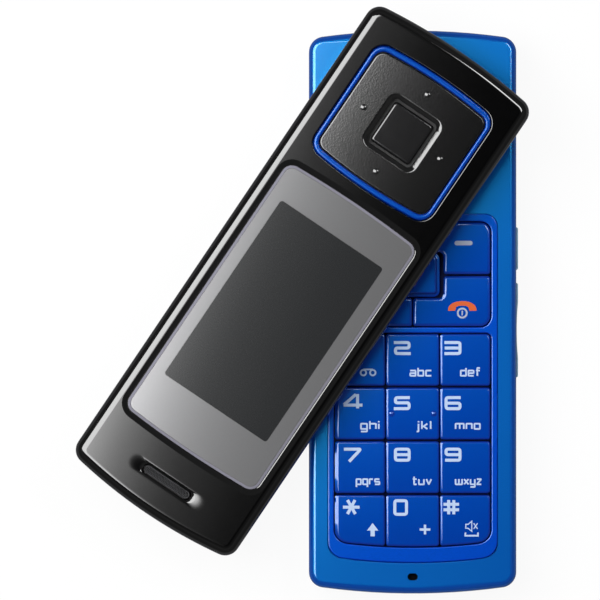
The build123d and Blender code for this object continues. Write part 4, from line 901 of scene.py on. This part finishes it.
class Print(Shell):
    """Printed lines and patches on one key; the crown gives the height of the key's face."""

    def __init__(self, crown):
        super().__init__()
        self.crown = crown
        self.count = 0

    def level(self, spots, lift):
        """Places on the key's face with their height."""
        return np.column_stack([spots, self.crown(spots) + lift])

    def stroke(self, path, half, reach=0.0):
        """Line of even breadth: points half to each side of the path, mitred at its corners."""
        path = np.asarray(path, float)
        closed = bool(np.allclose(path[0], path[-1]))
        path = path[:-1] if closed else path
        if reach and len(path) > 2:
            path = round_path(path, reach, closed=closed)
        ahead = np.roll(path, -1, axis=0) - path
        ahead = ahead / np.maximum(np.linalg.norm(ahead, axis=1, keepdims=True), tiny)
        behind = np.roll(ahead, 1, axis=0)
        if not closed:
            ahead[-1] = behind[-1]
            behind[0] = ahead[0]
        left = np.stack([-ahead[:, 1] - behind[:, 1], ahead[:, 0] + behind[:, 0]], 1)
        left = left / (1 + (ahead * behind).sum(axis=1, keepdims=True)) * half
        self.count += 1
        ramp = np.linspace(0, 1, len(path)) * ink_step * 0.5 + self.count * ink_step
        high = self.crown(path) + ink_lift + ramp
        foot = self.crown(path) - ink_foot
        sides = [(path + left, high), (path - left, high), (path - left, foot), (path + left, foot)]
        tube = np.stack([np.column_stack([spots, level]) for spots, level in sides], axis=1)
        count = len(path)
        row = np.arange(count if closed else count - 1)[:, None] * 4
        after = (row + 4) % (4 * count)
        near = np.arange(4)[None, :]
        far = (near + 1) % 4
        quads = np.stack([row + near, row + far, after + far, after + near], axis=-1).reshape(-1, 4)
        self.add(tube.reshape(-1, 3), quads)
        if not closed:
            self.add(tube[0], [[3, 2, 1, 0]])
            self.add(tube[-1], [[0, 1, 2, 3]])

    def patch(self, corners):
        """Flat patch of ink inside a counter-clockwise outline."""
        corners = np.asarray(corners, float)
        self.count += 1
        foot = self.level(corners, -ink_foot)
        high = self.level(corners, ink_lift + self.count * ink_step)
        self.closed([foot, high])

    def circle(self, x, y, radius, half, sides=28):
        """Ring of ink."""
        turn = np.linspace(0, 2 * math.pi, sides + 1)
        self.stroke(np.stack([x + radius * np.cos(turn), y + radius * np.sin(turn)], 1), half)

    def word(self, letters, left, right, base):
        """Small letters between two edges, standing on a base line."""
        widths = [max(int(pair[0]) for stroke in alphabet[letter] for pair in stroke)
                  for letter in letters]
        unit = (right - left - 2 * letter_half) / (sum(widths) + letter_gap * (len(letters) - 1))
        rise = (word_rise - 2 * letter_half) / 4
        start = left + letter_half
        for letter, width in zip(letters, widths):
            for stroke in alphabet[letter]:
                grid = np.array([(int(pair[0]), int(pair[1]) - 2) for pair in stroke], float)
                spots = grid * (unit, rise) + (start, base + letter_half)
                self.stroke(spots, letter_half, letter_reach)
            start += (width + letter_gap) * unit


# Letters as strokes on a grid: each pair is x and y, with the base line at y 2, small letters up to
# 6, tall ones to 8 and tails down to 0.
alphabet_strokes = {
    "a": "06 46 42 02 04 44", "b": "08 02 42 46 06", "c": "46 06 02 42", "d": "48 42 02 06 46",
    "e": "42 02 06 46 44 04", "f": "38 18 12/06 36", "g": "00 40 46 06 02 42", "h": "08 02/06 46 42",
    "i": "06 02/07 08", "j": "16 10 00/17 18", "k": "08 02/04 14 36/14 32", "l": "08 02",
    "m": "02 06 66 62/36 32", "n": "02 06 46 42", "o": "22 42 46 06 02 22", "p": "00 06 46 42 02",
    "q": "40 46 06 02 42", "r": "02 06 36", "s": "46 06 04 44 42 02", "t": "18 12 32/06 36",
    "u": "06 02 42 46", "v": "06 22 46", "w": "06 02 62 66/36 32", "x": "06 42/02 46",
    "y": "06 02 42/46 40 00", "z": "06 46 02 42",
}
alphabet = {letter: [stroke.split() for stroke in strokes.split("/")]
            for letter, strokes in alphabet_strokes.items()}

# Digits as strokes in millimetres, right of and below their upper left corner.
digits = {
    "1": [[(0.2, 0.6), (1.2, 0.2), (1.2, 2.1)]],
    "2": [[(0, 0.2), (2.35, 0.2), (2.35, 1.05), (0.25, 1.05), (0.25, 1.9), (2.6, 1.9)]],
    "3": [[(0, 0.2), (2.4, 0.2), (2.4, 1.9), (0, 1.9)], [(0.05, 1.05), (2.4, 1.05)]],
    "4": [[(1.85, -0.3), (0, 1.3)], [(-0.05, 1.35), (2.85, 1.35)], [(2.1, -0.35), (2.1, 1.85)]],
    "5": [[(2.45, 0.2), (0.25, 0.2), (0.25, 1), (2.35, 1), (2.35, 1.9), (0, 1.9)]],
    "6": [[(2.5, 0.2), (0.25, 0.2), (0.25, 1.9), (2.4, 1.9), (2.4, 1.05), (0.25, 1.05)]],
    "7": [[(0, 0.2), (2.6, 0.2), (0.8, 2.1)]],
    "8": [[(1.2, 0.2), (0.25, 0.2), (0.25, 1.9), (2.35, 1.9), (2.35, 0.2), (1.2, 0.2)],
          [(0.25, 1.05), (2.35, 1.05)]],
    "9": [[(0.1, 1.9), (2.4, 1.9), (2.4, 0.2), (0.25, 0.2), (0.25, 1.05), (2.4, 1.05)]],
    "0": [[(1, 0.2), (0.15, 0.2), (0.15, 2.3), (1.95, 2.3), (1.95, 0.2), (1, 0.2)]],
    "star": [[(-0.15, 1.2), (2.4, 1.2)], [(0.55, 0.1), (1.75, 2.25)], [(1.7, 0.1), (0.55, 2.25)]],
    "hash": [[(0.65, 0.1), (0.65, 2.3)], [(1.45, 0.1), (1.45, 2.3)], [(-0.15, 0.75), (2.25, 0.75)],
             [(-0.15, 1.6), (2.25, 1.6)]],
}
words = {"2": ("abc", -0.5, 3.0), "3": ("def", 7.3, 10.5), "4": ("ghi", -8.1, -5.1),
         "5": ("jkl", 0.5, 2.9), "6": ("mno", 6.5, 10.5), "7": ("pqrs", -8.8, -5.0),
         "8": ("tuv", -0.1, 3.0), "9": ("wxyz", 6.5, 10.7)}


def ink(name, tone, light):
    """Printing ink: a matt film whose density varies a little."""
    film = Finish(name)
    density = film.noise(film.place(), 2400.0, 3.0)
    return film.shade(Base_Color=film.blend(density, tone, light),
                      Roughness=film.spread(density, 0.42, 0.55), Specular_IOR_Level=0.25,
                      Normal=film.bump(density, 0.000003))


def message_sign(ink_on):
    """Two tape reels under a bar."""
    for x in (-7.6, -6.15):
        ink_on.circle(x, -9.35, 0.42, sign_half)
    ink_on.stroke([(-7.6, -8.85), (-6.15, -8.85)], bar_half)


def shift_sign(ink_on):
    """Arrow that points up."""
    ink_on.patch([(-7.05, -33.7), (-5.3, -33.7), (-6.17, -32.55)])
    ink_on.patch([(-6.5, -34.6), (-5.85, -34.6), (-5.85, -33.65), (-6.5, -33.65)])


def plus_sign(ink_on):
    """Plus."""
    ink_on.stroke([(1.07, -33.55), (2.73, -33.55)], bold_half)
    ink_on.stroke([(1.9, -34.3), (1.9, -32.8)], bold_half)


def mute_sign(ink_on):
    """Outlined loudspeaker and a cross over a bracket."""
    ink_on.stroke([(8.2, -33.35), (8.55, -33.35), (9.12, -33.82), (9.12, -32.28), (8.55, -32.75),
                   (8.2, -32.75), (8.2, -33.35)], fine_half)
    ink_on.stroke([(9.42, -33.45), (10.0, -32.6)], fine_half)
    ink_on.stroke([(9.42, -32.6), (10.0, -33.45)], fine_half)
    ink_on.stroke([(8.13, -34.0), (8.13, -34.5), (10.07, -34.5), (10.07, -34.0)], sign_half)


signs = {"1": message_sign, "star": shift_sign, "0": plus_sign, "hash": mute_sign}
pale_ink = ink("pale_ink", (0.36, 0.46, 0.65, 1), (0.42, 0.52, 0.71, 1))
for index, name in enumerate(numeric_names):
    row, column = divmod(index, 3)
    legend = Print(crowns["key_" + name])
    corner = np.array((digit_columns[column], digit_rows[row]))
    for stroke in digits[name]:
        legend.stroke(corner + np.array(stroke) * (1, -1), digit_half, corner_reach)
    if name in words:
        letters, left, right = words[name]
        legend.word(letters, left, right, word_rows[row])
    if name in signs:
        signs[name](legend)
    legend.piece("print_on_key_" + name, pale_ink, "key_" + name, "key_legend")

soft_dash_length = 1.4       # half the dash's length and breadth
soft_dash_half = 0.35
soft_dash_place = (7.85, 10.65)
handset_middle = 7.65
handset_reach = 2.2
handset_foot = 0.2
handset_rise = 1.5
handset_round = 0.8          # power of the sine in its arch
handset_grip = [(-1.11, 0.0), (-0.95, 0.55), (-0.55, 0.77), (0.55, 0.77), (0.95, 0.55), (1.11, 0.0)]
ring_place = (7.65, -0.15)
ring_radius = 0.70
power_reach = 0.35           # half the length and breadth of the bar in the ring
power_half = 0.1


def handset(ink_on, side):
    """Telephone receiver from its side: an arch, cos t across and a power of sin t up, on a grip."""
    t = np.linspace(0, math.pi, 25)
    arch = np.stack([handset_reach * np.cos(t), handset_rise * np.abs(np.sin(t))**handset_round], 1)
    ink_on.patch(np.vstack([arch, handset_grip]) + (side * handset_middle, handset_foot))


def stadium(half_length, half_width, y, steps=17):
    """Long slot: two straight sides along x and two half-round ends."""
    turn = np.linspace(-math.pi / 2, math.pi / 2, steps)
    reach = half_length - half_width
    end = np.stack([reach + half_width * np.cos(turn), half_width * np.sin(turn)], 1)
    return np.vstack([end, -end]) + (0, y)


grey_ink = ink("grey_ink", (0.30, 0.33, 0.42, 1), (0.36, 0.39, 0.48, 1))
for side, name in ((-1, "left_soft_key"), (1, "right_soft_key")):
    dash = Print(crowns[name])
    x, y = side * soft_dash_place[0], soft_dash_place[1]
    dash.patch(stadium(soft_dash_length, soft_dash_half, y, 9) + (x, 0))
    dash.piece("print_on_" + name, grey_ink, name, "key_legend")

call_ink = ink("green_ink", (0.03, 0.42, 0.10, 1), (0.05, 0.50, 0.14, 1))
end_ink = ink("orange_ink", (0.50, 0.070, 0.004, 1), (0.58, 0.088, 0.008, 1))
for side, name, film in ((-1, "call_key", call_ink), (1, "end_key", end_ink)):
    receiver = Print(crowns[name])
    handset(receiver, side)
    receiver.piece("receiver_on_" + name, film, name, "call_legend")
power_sign = Print(crowns["end_key"])
power_sign.circle(*ring_place, ring_radius, sign_half)
power_x, power_y = ring_place
power_sign.stroke([(power_x, power_y - power_reach), (power_x, power_y + power_reach)], power_half)
power_sign.piece("power_sign_on_end_key", grey_ink, "end_key", "key_legend")

# ---- Cover: back housing and inner pieces ----
# The cover's back shell is black plastic. Inside are a steel tray with the display, a small board
# for the navigation pad, its rubber carrier and the earpiece capsule.
black_deep = (0.0006, 0.0006, 0.0007, 1)
black_light = (0.0010, 0.0010, 0.0011, 1)
haze_scale = 900.0           # faint clouds per metre
haze_reach = 0.01            # of them in roughness, to each side


def gloss(name, tone, light, roughness, ior):
    """Polished hard plastic: a faint haze in its colour and gloss."""
    plastic = Finish(name)
    haze = plastic.noise(plastic.place(), haze_scale, 3.0)
    return plastic.shade(Base_Color=plastic.blend(haze, tone, light),
                         Roughness=plastic.spread(haze, roughness - haze_reach, roughness + haze_reach),
                         IOR=ior, Normal=plastic.bump(haze, 0.0))


black_gloss = gloss("black_gloss", black_deep, black_light, 0.05, 1.7)
rubber = moulded("black_rubber", (0.012, 0.012, 0.013, 1), (0.020, 0.020, 0.021, 1), 2000.0, 0.6)
panel_glass = gloss("display_glass", (0.020, 0.022, 0.024, 1), (0.026, 0.028, 0.030, 1), 0.12, 1.5)
black_mask = moulded("black_mask", (0.004, 0.004, 0.005, 1), (0.008, 0.008, 0.009, 1), 420.0, 0.4)
dress(black_gloss, "cover_rear_housing")
dress(black_mask, "cover_pcb", "nav_dome_sheet")
dress(black_resin, "earpiece_receiver")
dress(panel_glass, "display_module")
dress(plain_steel, "display_bracket")
dress(rubber, "nav_rubber_pad")
soften(0.1, "cover_rear_housing", "display_bracket")

# ---- Cover: front frame ----
# One black polished moulding: a round shoulder and a narrow flat facet all round, a bevelled seat
# for the display window, a groove for the blue ring and a long dish for the earpiece.
cover_bow_ear = 80.0
cover_bow_nav = 100.0
cover_corner = 2.3
cover_wall = 0.9
cover_front_wall = 2.0
foot_ease = 0.08
shoulder = [(0.0, 1.20), (0.03, 1.02), (0.10, 0.78), (0.20, 0.62), (0.35, 0.46), (0.50, 0.345),
            (0.65, 0.255), (0.75, 0.200), (0.85, 0.150), (0.95, 0.101), (1.05, 0.064), (1.15, 0.0425),
            (1.3, 0.0185), (1.42, 0.0085), (1.54, 0.0028), (1.66, 0.0)]
rim_ease = 0.06
nav_gap = 0.05
nav_groove = 0.35
nav_groove_width = 0.18
nav_lip = 0.010
nav_lip_width = 0.05
window_gap = 0.05
window_groove_width = 0.95
window_groove_depth = 0.5
lip_width = 0.17             # the rounded lip at the groove's foot, from its outer edge inwards
lip_run = 0.05
lip_step = 0.03
lip_drop = 0.044
aperture_half = 10.4
aperture_top_margin = 4.9
aperture_low_margin = 7.1
aperture_corner = 0.4
earpiece_from_end = 5.75
dish_half_length = 6.7
dish_half_width = 1.30
dish_rim = 0.25
dish_fall = [(0.0, 0.0), (0.12, 0.0017), (0.25, 0.0065), (0.38, 0.0143), (0.5, 0.0232),
             (0.62, 0.0332), (0.74, 0.0443), (0.82, 0.11), (0.90, 0.27), (1.0, 0.60)]
slot_ease = 0.05
slot_half_length = 4.05
slot_half_width = 0.6
boss_radius = 1.25
boss_hole = 0.6
boss_clearance = 0.05

joints = {joint["name"]: joint for joint in frame["joints"]}
pivot = np.array(joints["cover_swivel"]["pos_m"]) / mm
across = np.array(joints["nav_tilt_endways"]["axis"])
along = np.array(joints["nav_tilt_sideways"]["axis"])


def swung(points):
    """Places in the cover's own directions, x across and y along it, turned about the swivel."""
    flat = pivot * (1, 1, 0) + points[:, :1] * across + (points[:, 1:2] - pivot[1]) * along
    flat[:, 2] += points[:, 2]
    return flat


def own_span(name):
    """Lowest and highest corner of a CAD node in the cover's own directions, in millimetres."""
    mesh = frame["nodes"][name].data
    points = np.empty(len(mesh.vertices) * 3)
    mesh.vertices.foreach_get("co", points)
    points = points.reshape(-1, 3) / mm
    flat = points - pivot * (1, 1, 0)
    own = np.stack([flat @ across, flat @ along + pivot[1], points[:, 2]], axis=1)
    return own.min(axis=0), own.max(axis=0)


def bowed_end(half, crest, bow, corner, steps=9, middle=25):
    """Upper end of a plate, from its right side to its left: corner arc, bow, corner arc.

    The bow's centre lies a bow below the crest, and each corner's arc touches the side and the bow.
    """
    reach = half - corner
    hub = math.sqrt((bow - corner)**2 - reach**2)
    tilt = math.atan2(hub, reach)
    turn = np.linspace(0, tilt, steps)
    right = np.stack([reach + corner * np.cos(turn), crest - bow + hub + corner * np.sin(turn)], 1)
    sweep = np.linspace(tilt, math.pi - tilt, middle)[1:-1]
    arc = np.stack([bow * np.cos(sweep), crest - bow + bow * np.sin(sweep)], 1)
    return np.vstack([right, arc, right[::-1] * (-1, 1)])


def bowed_loop(half, low, high, low_bow, high_bow, corner, inset):
    """Outline of a plate with bowed ends and straight sides, moved inwards by inset."""
    round_corner = max(corner - inset, least_corner)
    upper = bowed_end(half - inset, high - inset, high_bow - inset, round_corner)
    lower = bowed_end(half - inset, -low - inset, low_bow - inset, round_corner)
    return np.vstack([upper, -lower])


def ring_at(loop, height):
    """Loop of places at one height."""
    return np.column_stack([loop[:, :2], np.full(len(loop), height)])


def disc(x, y, radius, sides=32):
    """Round outline."""
    turn = np.linspace(0, 2 * math.pi, sides, endpoint=False)
    return np.stack([x + radius * np.cos(turn), y + radius * np.sin(turn)], 1)


cover_low, cover_high = own_span("cover_front_frame")
cover_half = cover_high[0]
face = cover_high[2]
seam = cover_low[2]
ceiling = face - cover_front_wall
window_low, window_high = own_span("display_window")
window_bow = 160.0
window_corner = 1.7
ring_low, ring_high = own_span("nav_ring")
ring_flange = 0.5
ring_half = ring_high[0] - ring_flange
ring_reach = (ring_high[1] - ring_low[1]) / 2 - ring_flange
ring_bow = 80.9
ring_corner = 2.4
nav_y = (ring_low[1] + ring_high[1]) / 2
earpiece_y = cover_low[1] + earpiece_from_end
aperture_low = window_low[1] + aperture_low_margin
aperture_high = window_high[1] - aperture_top_margin
screw_low, screw_high = own_span("cover_screws")
screw_radius = 1.05
screw_x = screw_high[0] - screw_radius
screw_rows = (screw_low[1] + screw_radius, screw_high[1] - screw_radius)


def cover_loop(inset):
    """Outline of the cover."""
    return bowed_loop(cover_half, cover_low[1], cover_high[1], cover_bow_ear, cover_bow_nav,
                      cover_corner, inset)


def window_loop(inset):
    """Outline of the display window."""
    return bowed_loop(window_high[0], window_low[1], window_high[1], window_bow, window_bow,
                      window_corner, inset)


def ring_loop(inset):
    """Outer outline of the blue ring round the navigation plate."""
    return bowed_loop(ring_half, nav_y - ring_reach, nav_y + ring_reach, ring_bow, ring_bow,
                      ring_corner, inset)


frame_levels = [(cover_wall, ceiling), (cover_wall, seam), (foot_ease, seam), (0, seam + foot_ease)]
frame_levels += [(inset, face - drop) for inset, drop in shoulder]
frame_levels.append((shoulder[-1][0] + rim_ease, face))
nav_levels = [(-nav_groove_width - nav_lip_width - rim_ease, face),
              (-nav_groove_width - nav_lip_width, face), (-nav_groove_width, face - nav_lip),
              (-nav_gap, face - nav_groove), (-nav_gap, ceiling)]
window_seat = window_low[2]
groove_foot = face - window_groove_depth
lip_edge = window_gap + lip_width
window_levels = [(-window_groove_width - rim_ease, face), (-window_groove_width, face),
                 (-lip_edge - lip_run, groove_foot), (-lip_edge, groove_foot - lip_step),
                 (-window_gap, groove_foot - lip_step - lip_drop), (-window_gap, window_seat)]
aperture_corners = box_corners(-aperture_half, aperture_half, aperture_low, aperture_high)
aperture = rounded_polygon(aperture_corners, aperture_corner)[:, :2]
dish_floor = face - dish_fall[-1][1]
dish_ends = [(dish_half_length - (dish_half_length - slot_half_length - slot_ease) * share,
              dish_half_width - (dish_half_width - slot_half_width - slot_ease) * share,
              face - drop) for share, drop in dish_fall]
dish_ends.insert(0, (dish_half_length + dish_rim, dish_half_width + dish_rim, face))
dish_ends += [(slot_half_length, slot_half_width, level) for level in (dish_floor, ceiling)]
dish = [ring_at(stadium(length, width, earpiece_y), level) for length, width, level in dish_ends]

front = Shell()
front.band(stacked(cover_loop, frame_levels))
front.band(stacked(ring_loop, nav_levels))
front.band(stacked(window_loop, window_levels))
front.band([ring_at(aperture, window_seat), ring_at(aperture, ceiling)])
front.band(dish)
front.fill([cover_loop(frame_levels[-1][0]), ring_loop(nav_levels[0][0]),
            window_loop(window_levels[0][0]), dish[0]], face)
front.fill([window_loop(-window_gap), aperture], window_seat)
bosses = [(side * screw_x, y) for side in (-1, 1) for y in screw_rows]
front.fill([cover_loop(cover_wall), ring_loop(-nav_gap), aperture, dish[-1]]
           + [disc(x, y, boss_radius) for x, y in bosses], ceiling, up=False)
for x, y in bosses:
    outer, hole_loop = disc(x, y, boss_radius), disc(x, y, boss_hole)
    rim = seam + boss_clearance
    top = ceiling - boss_clearance
    front.lid(ring_at(hole_loop, top), up=False)
    front.band([ring_at(hole_loop, top), ring_at(hole_loop, rim), ring_at(outer, rim),
                ring_at(outer, ceiling)])
front.piece("cover_frame", black_gloss, "cover", "black_gloss", "cover_front_frame", place=swung)

# ---- Earpiece mesh ----
# Fine steel wires woven over and under each other in a narrow stamped rim, painted dark.
wire_pitch = 0.28
wire_radius = 0.06
weave_height = 0.055
wire_sides = 6
wire_steps = 8               # along one pitch
cross_count = 13             # wires to each side of the middle one, across the slot and along it
long_count = 1
mesh_rim = 0.12              # breadth of the rim, then the breadth and drop of its rounded edges
rim_round = 0.03
rim_fall = 0.04
rim_sunk = 0.02              # of the rim below the piece's top
long_gap = 0.05              # between the rim and the ends of the wires along the slot
cross_bite = 0.02            # of the wires across the slot into the rim
mesh_low, mesh_high = own_span("earpiece_mesh")
mesh_half_length = mesh_high[0]
mesh_half_width = (mesh_high[1] - mesh_low[1]) / 2
mesh_level = (mesh_low[2] + mesh_high[2]) / 2


def wires(shell, count, half, turned):
    """Parallel wires, each a tube round z = height times cos(pi t / pitch), t along it.

    There are count of them to each side of the middle one, and they reach half to each end.
    Neighbours go over and under in turn. Turned wires run along y and the others along x.
    """
    t = np.linspace(-half, half, max(int(half / wire_pitch), 1) * wire_steps)
    turn = np.linspace(0, 2 * math.pi, wire_sides, endpoint=False)
    ring = np.stack([np.zeros(wire_sides), np.cos(turn), np.sin(turn)], 1) * wire_radius
    swing = -weave_height if turned else weave_height
    for number, offset in enumerate(np.arange(-count, count + 1) * wire_pitch):
        wave = swing * np.cos(math.pi * (t / wire_pitch + number))
        tube = np.stack([t, np.full_like(t, offset), wave], 1)[:, None] + ring[None]
        tube = tube[..., [1, 0, 2]] if turned else tube[:, ::-1]
        shell.closed(tube + (0, earpiece_y, mesh_level))


net = Shell()
inner_length = mesh_half_length - mesh_rim
inner_width = mesh_half_width - mesh_rim
wires(net, long_count, inner_length - long_gap, False)
wires(net, cross_count, inner_width + cross_bite, True)
rim_outer = stadium(mesh_half_length, mesh_half_width, earpiece_y)
rim_inner = stadium(inner_length, inner_width, earpiece_y)
edge_outer = stadium(mesh_half_length - rim_round, mesh_half_width - rim_round, earpiece_y)
edge_inner = stadium(inner_length + rim_round, inner_width + rim_round, earpiece_y)
rim_high = mesh_high[2] - rim_sunk
rim_low = mesh_low[2]
net.band([ring_at(rim_outer, rim_low), ring_at(rim_outer, rim_high - rim_fall),
          ring_at(edge_outer, rim_high), ring_at(edge_inner, rim_high),
          ring_at(rim_inner, rim_high - rim_fall), ring_at(rim_inner, rim_low),
          ring_at(rim_outer, rim_low)])
net_metal = brushed("painted_wire", (0.035, 0.035, 0.037, 1), (0.07, 0.07, 0.075, 1), 0, 0.4)
net.piece("earpiece_net", net_metal, "cover", "mesh", "earpiece_mesh", place=swung)

# ---- Display window ----
# A hard clear plate with a polished bevel, printed grey behind its border. The display under it
# is switched off and shows as a darker field. The bevel is painted a pale lavender grey, a painted
# sheen for the light seen in it.
bevel_width = 0.45
bevel_drop = 0.2
# painted sheen: the bevel's pale lavender grey stands in for the light seen in the polished bevel
bevel_sheen_tone = (0.21, 0.205, 0.25, 1)
bevel_crease = math.radians(15)
field_place = (-0.2, -8.0)
field_reach = (9.45, 16.1)
field_corner = 0.5
field_tone = (0.016, 0.017, 0.018, 1)
field_light = (0.019, 0.020, 0.021, 1)
border_tone = (0.215, 0.215, 0.22, 1)
border_light = (0.235, 0.235, 0.24, 1)
border_metal = 0.58          # metallic share of the printed border
field_blur = 0.05

glass_top = window_high[2]
glass_levels = [(0, window_low[2]), (0, glass_top - bevel_drop), (bevel_width, glass_top)]
glass = Shell()
glass.closed(stacked(window_loop, glass_levels))

window_finish = Finish("printed_window")
spot = window_finish.place()
middle = swung(np.array([[*field_place, 0.0]]))[0] * mm
outside = []
for axis, half in zip((across, along), field_reach):
    reach = window_finish.node("ShaderNodeVectorMath", {"operation": "DOT_PRODUCT"},
                               {0: spot, 1: tuple(axis)}, output="Value")
    off = reach.math("ABSOLUTE", reach - float(middle @ axis))
    outside.append(off.math("MAXIMUM", off - (half - field_corner) * mm, 0.0))
square = outside[0] * outside[0] + outside[1] * outside[1]
rim = square.math("SQRT", square)
border = window_finish.spread(rim, 0.0, 1.0, (field_corner - field_blur) * mm,
                              (field_corner + field_blur) * mm)
level = window_finish.part(spot, 2)
# mask of the bevel, where the painted sheen takes the place of the print
bevel_sheen_mask = window_finish.spread(level, 1.0, 0.0, (glass_top - bevel_drop / 4) * mm,
                                (glass_top - bevel_drop / 20) * mm)
haze = window_finish.noise(spot, 5000.0, 3.0)
field = window_finish.blend(haze, field_tone, field_light)
print_tone = window_finish.blend(haze, border_tone, border_light)
printed = window_finish.blend(border, field, print_tone)
window_finish.shade(Base_Color=window_finish.blend(bevel_sheen_mask, printed, bevel_sheen_tone),
                    Metallic=(border - bevel_sheen_mask) * border_metal,
                    Roughness=window_finish.spread(border, 0.06, 0.10), IOR=1.6)
glass.piece("window_plate", window_finish, "cover", "window", "display_window", place=swung,
            fold=bevel_crease)

# ---- Blue ring, navigation plate and middle key ----
# A lacquered bead lies in the groove round a black grained plate with four raised dots. The
# plate slopes down into a square well with the polished middle key.
bead = 0.28                  # rounding of the ring's edges
bead_steps = 6
ring_width = 0.75
ring_end_extra = 0.2
ring_flange_thickness = 0.45
plate_bow = 80.0
plate_corner = 1.5
plate_edge = 0.16
plate_crown = 850.0
plate_step = 1.2             # of the grid of points on its face
well_half = 4.0
well_corner = 0.8
well_levels = [(0.97, 0.0), (0.87, 0.0), (0.77, 0.005), (0.67, 0.028), (0.06, 0.27), (0.0, 0.35)]
pebble_scale = 4200.0
pebble_relief = 0.00001
pebble_strength = 0.32
dot_radius = 0.50
dot_height = 0.10
dot_reach = 7.1
ok_corner = 0.5
ok_edge = [(0, 0.30), (0.05, 0.17), (0.15, 0.075), (0.33, 0.014), (0.42, 0)]

plate_low, plate_high = own_span("nav_plate")
plate_half = plate_high[0]
plate_reach = (plate_high[1] - plate_low[1]) / 2
plate_top = plate_high[2] - dot_height
ring_inner_half = ring_half - ring_width
ring_inner_reach = ring_reach - ring_width - ring_end_extra


def plate_loop(inset):
    """Outline of the navigation plate."""
    return bowed_loop(plate_half, nav_y - plate_reach, nav_y + plate_reach, plate_bow, plate_bow,
                      plate_corner, inset)


def ring_inner_loop(inset):
    """Inner outline of the blue ring."""
    return bowed_loop(ring_inner_half, nav_y - ring_inner_reach, nav_y + ring_inner_reach,
                      ring_bow - ring_width, ring_bow - ring_width, ring_corner - ring_width, inset)


def square_loop(half, corner):
    """Square outline round the middle of the navigation pad."""
    corners = box_corners(-half, half, nav_y - half, nav_y + half)
    return rounded_polygon(corners, corner)[:, :2]


ring_top = ring_high[2]
flange_top = ring_low[2] + ring_flange_thickness
outer_levels = [(-ring_flange, ring_low[2]), (-ring_flange, flange_top), (0, flange_top)]
outer_levels += [(inset, ring_top - drop) for inset, drop in eased(bead, bead_steps)]
inner_levels = [(-inset, ring_top - drop) for inset, drop in reversed(eased(bead, bead_steps))]
inner_levels.append((0, ring_low[2]))
collar = Shell()
outer_rings = stacked(ring_loop, outer_levels)
collar.band(np.concatenate([outer_rings, stacked(ring_inner_loop, inner_levels), outer_rings[:1]]))
ring_blue = lacquer("ring_lacquer", (0.0003, 0.034, 0.38, 1), (0.003, 0.052, 0.17, 1), 0.25, 0.45)
collar.piece("blue_collar", ring_blue, "cover", "blue_trim", "nav_ring", place=swung)

plate = Shell()
plate_levels = [(0, plate_low[2])]
plate_levels += [(inset, plate_top - drop) for inset, drop in eased(plate_edge, 5)]
plate_levels.append((plate_edge + rest, plate_top))
well_loops = [ring_at(square_loop(well_half + out, well_corner + out), plate_top - drop)
              for out, drop in well_levels]
well_loops.append(ring_at(square_loop(well_half, well_corner), plate_low[2]))
plate.band(stacked(plate_loop, plate_levels))
plate.band(well_loops)
plate.fill([plate_loop(plate_edge + rest), well_loops[0]], plate_top, step=plate_step)
plate.fill([plate_loop(0), well_loops[-1]], plate_low[2], up=False)
for x, y in ((dot_reach, 0), (0, dot_reach), (-dot_reach, 0), (0, -dot_reach)):
    plate.dome(x, nav_y + y, plate_top, dot_radius, dot_height)
lift = np.clip((plate.points[:, 2] - plate_low[2]) / (plate_top - plate_low[2]), 0, 1)
plate.points[:, 2] -= lift * plate.points[:, 0]**2 / (2 * plate_crown)
plate_finish = Finish("grained_black")
spot = plate_finish.place()
pebbles = plate_finish.cells(spot, pebble_scale, "SMOOTH_F1")
grain = plate_finish.noise(spot, 3000.0, 3.0)
plate_finish.shade(Base_Color=plate_finish.blend(grain, (0.0012, 0.0012, 0.0013, 1),
                                                 (0.0020, 0.0020, 0.0021, 1)),
                   Roughness=plate_finish.spread(grain, 0.09, 0.13), IOR=1.7,
                   Normal=plate_finish.bump(pebbles, pebble_relief, pebble_strength))
plate.piece("navigation_plate", plate_finish, "nav_plate", "black_grained", "nav_plate", place=swung)

ok_low, ok_high = own_span("ok_key")
ok_half = ok_high[0]
ok_levels = [(0, ok_low[2])]
ok_levels += [(inset, ok_high[2] - drop) for inset, drop in ok_edge]
ok_rings = [ring_at(square_loop(ok_half - inset, ok_corner - inset / 2), height)
            for inset, height in ok_levels]
middle_key = Shell()
middle_key.closed(ok_rings)
middle_finish = gloss("black_key_plastic", (0.004, 0.004, 0.0044, 1), (0.006, 0.006, 0.0064, 1),
                      0.09, 1.6)
middle_key.piece("middle_key", middle_finish, "ok_key", "black_key", "ok_key", place=swung)
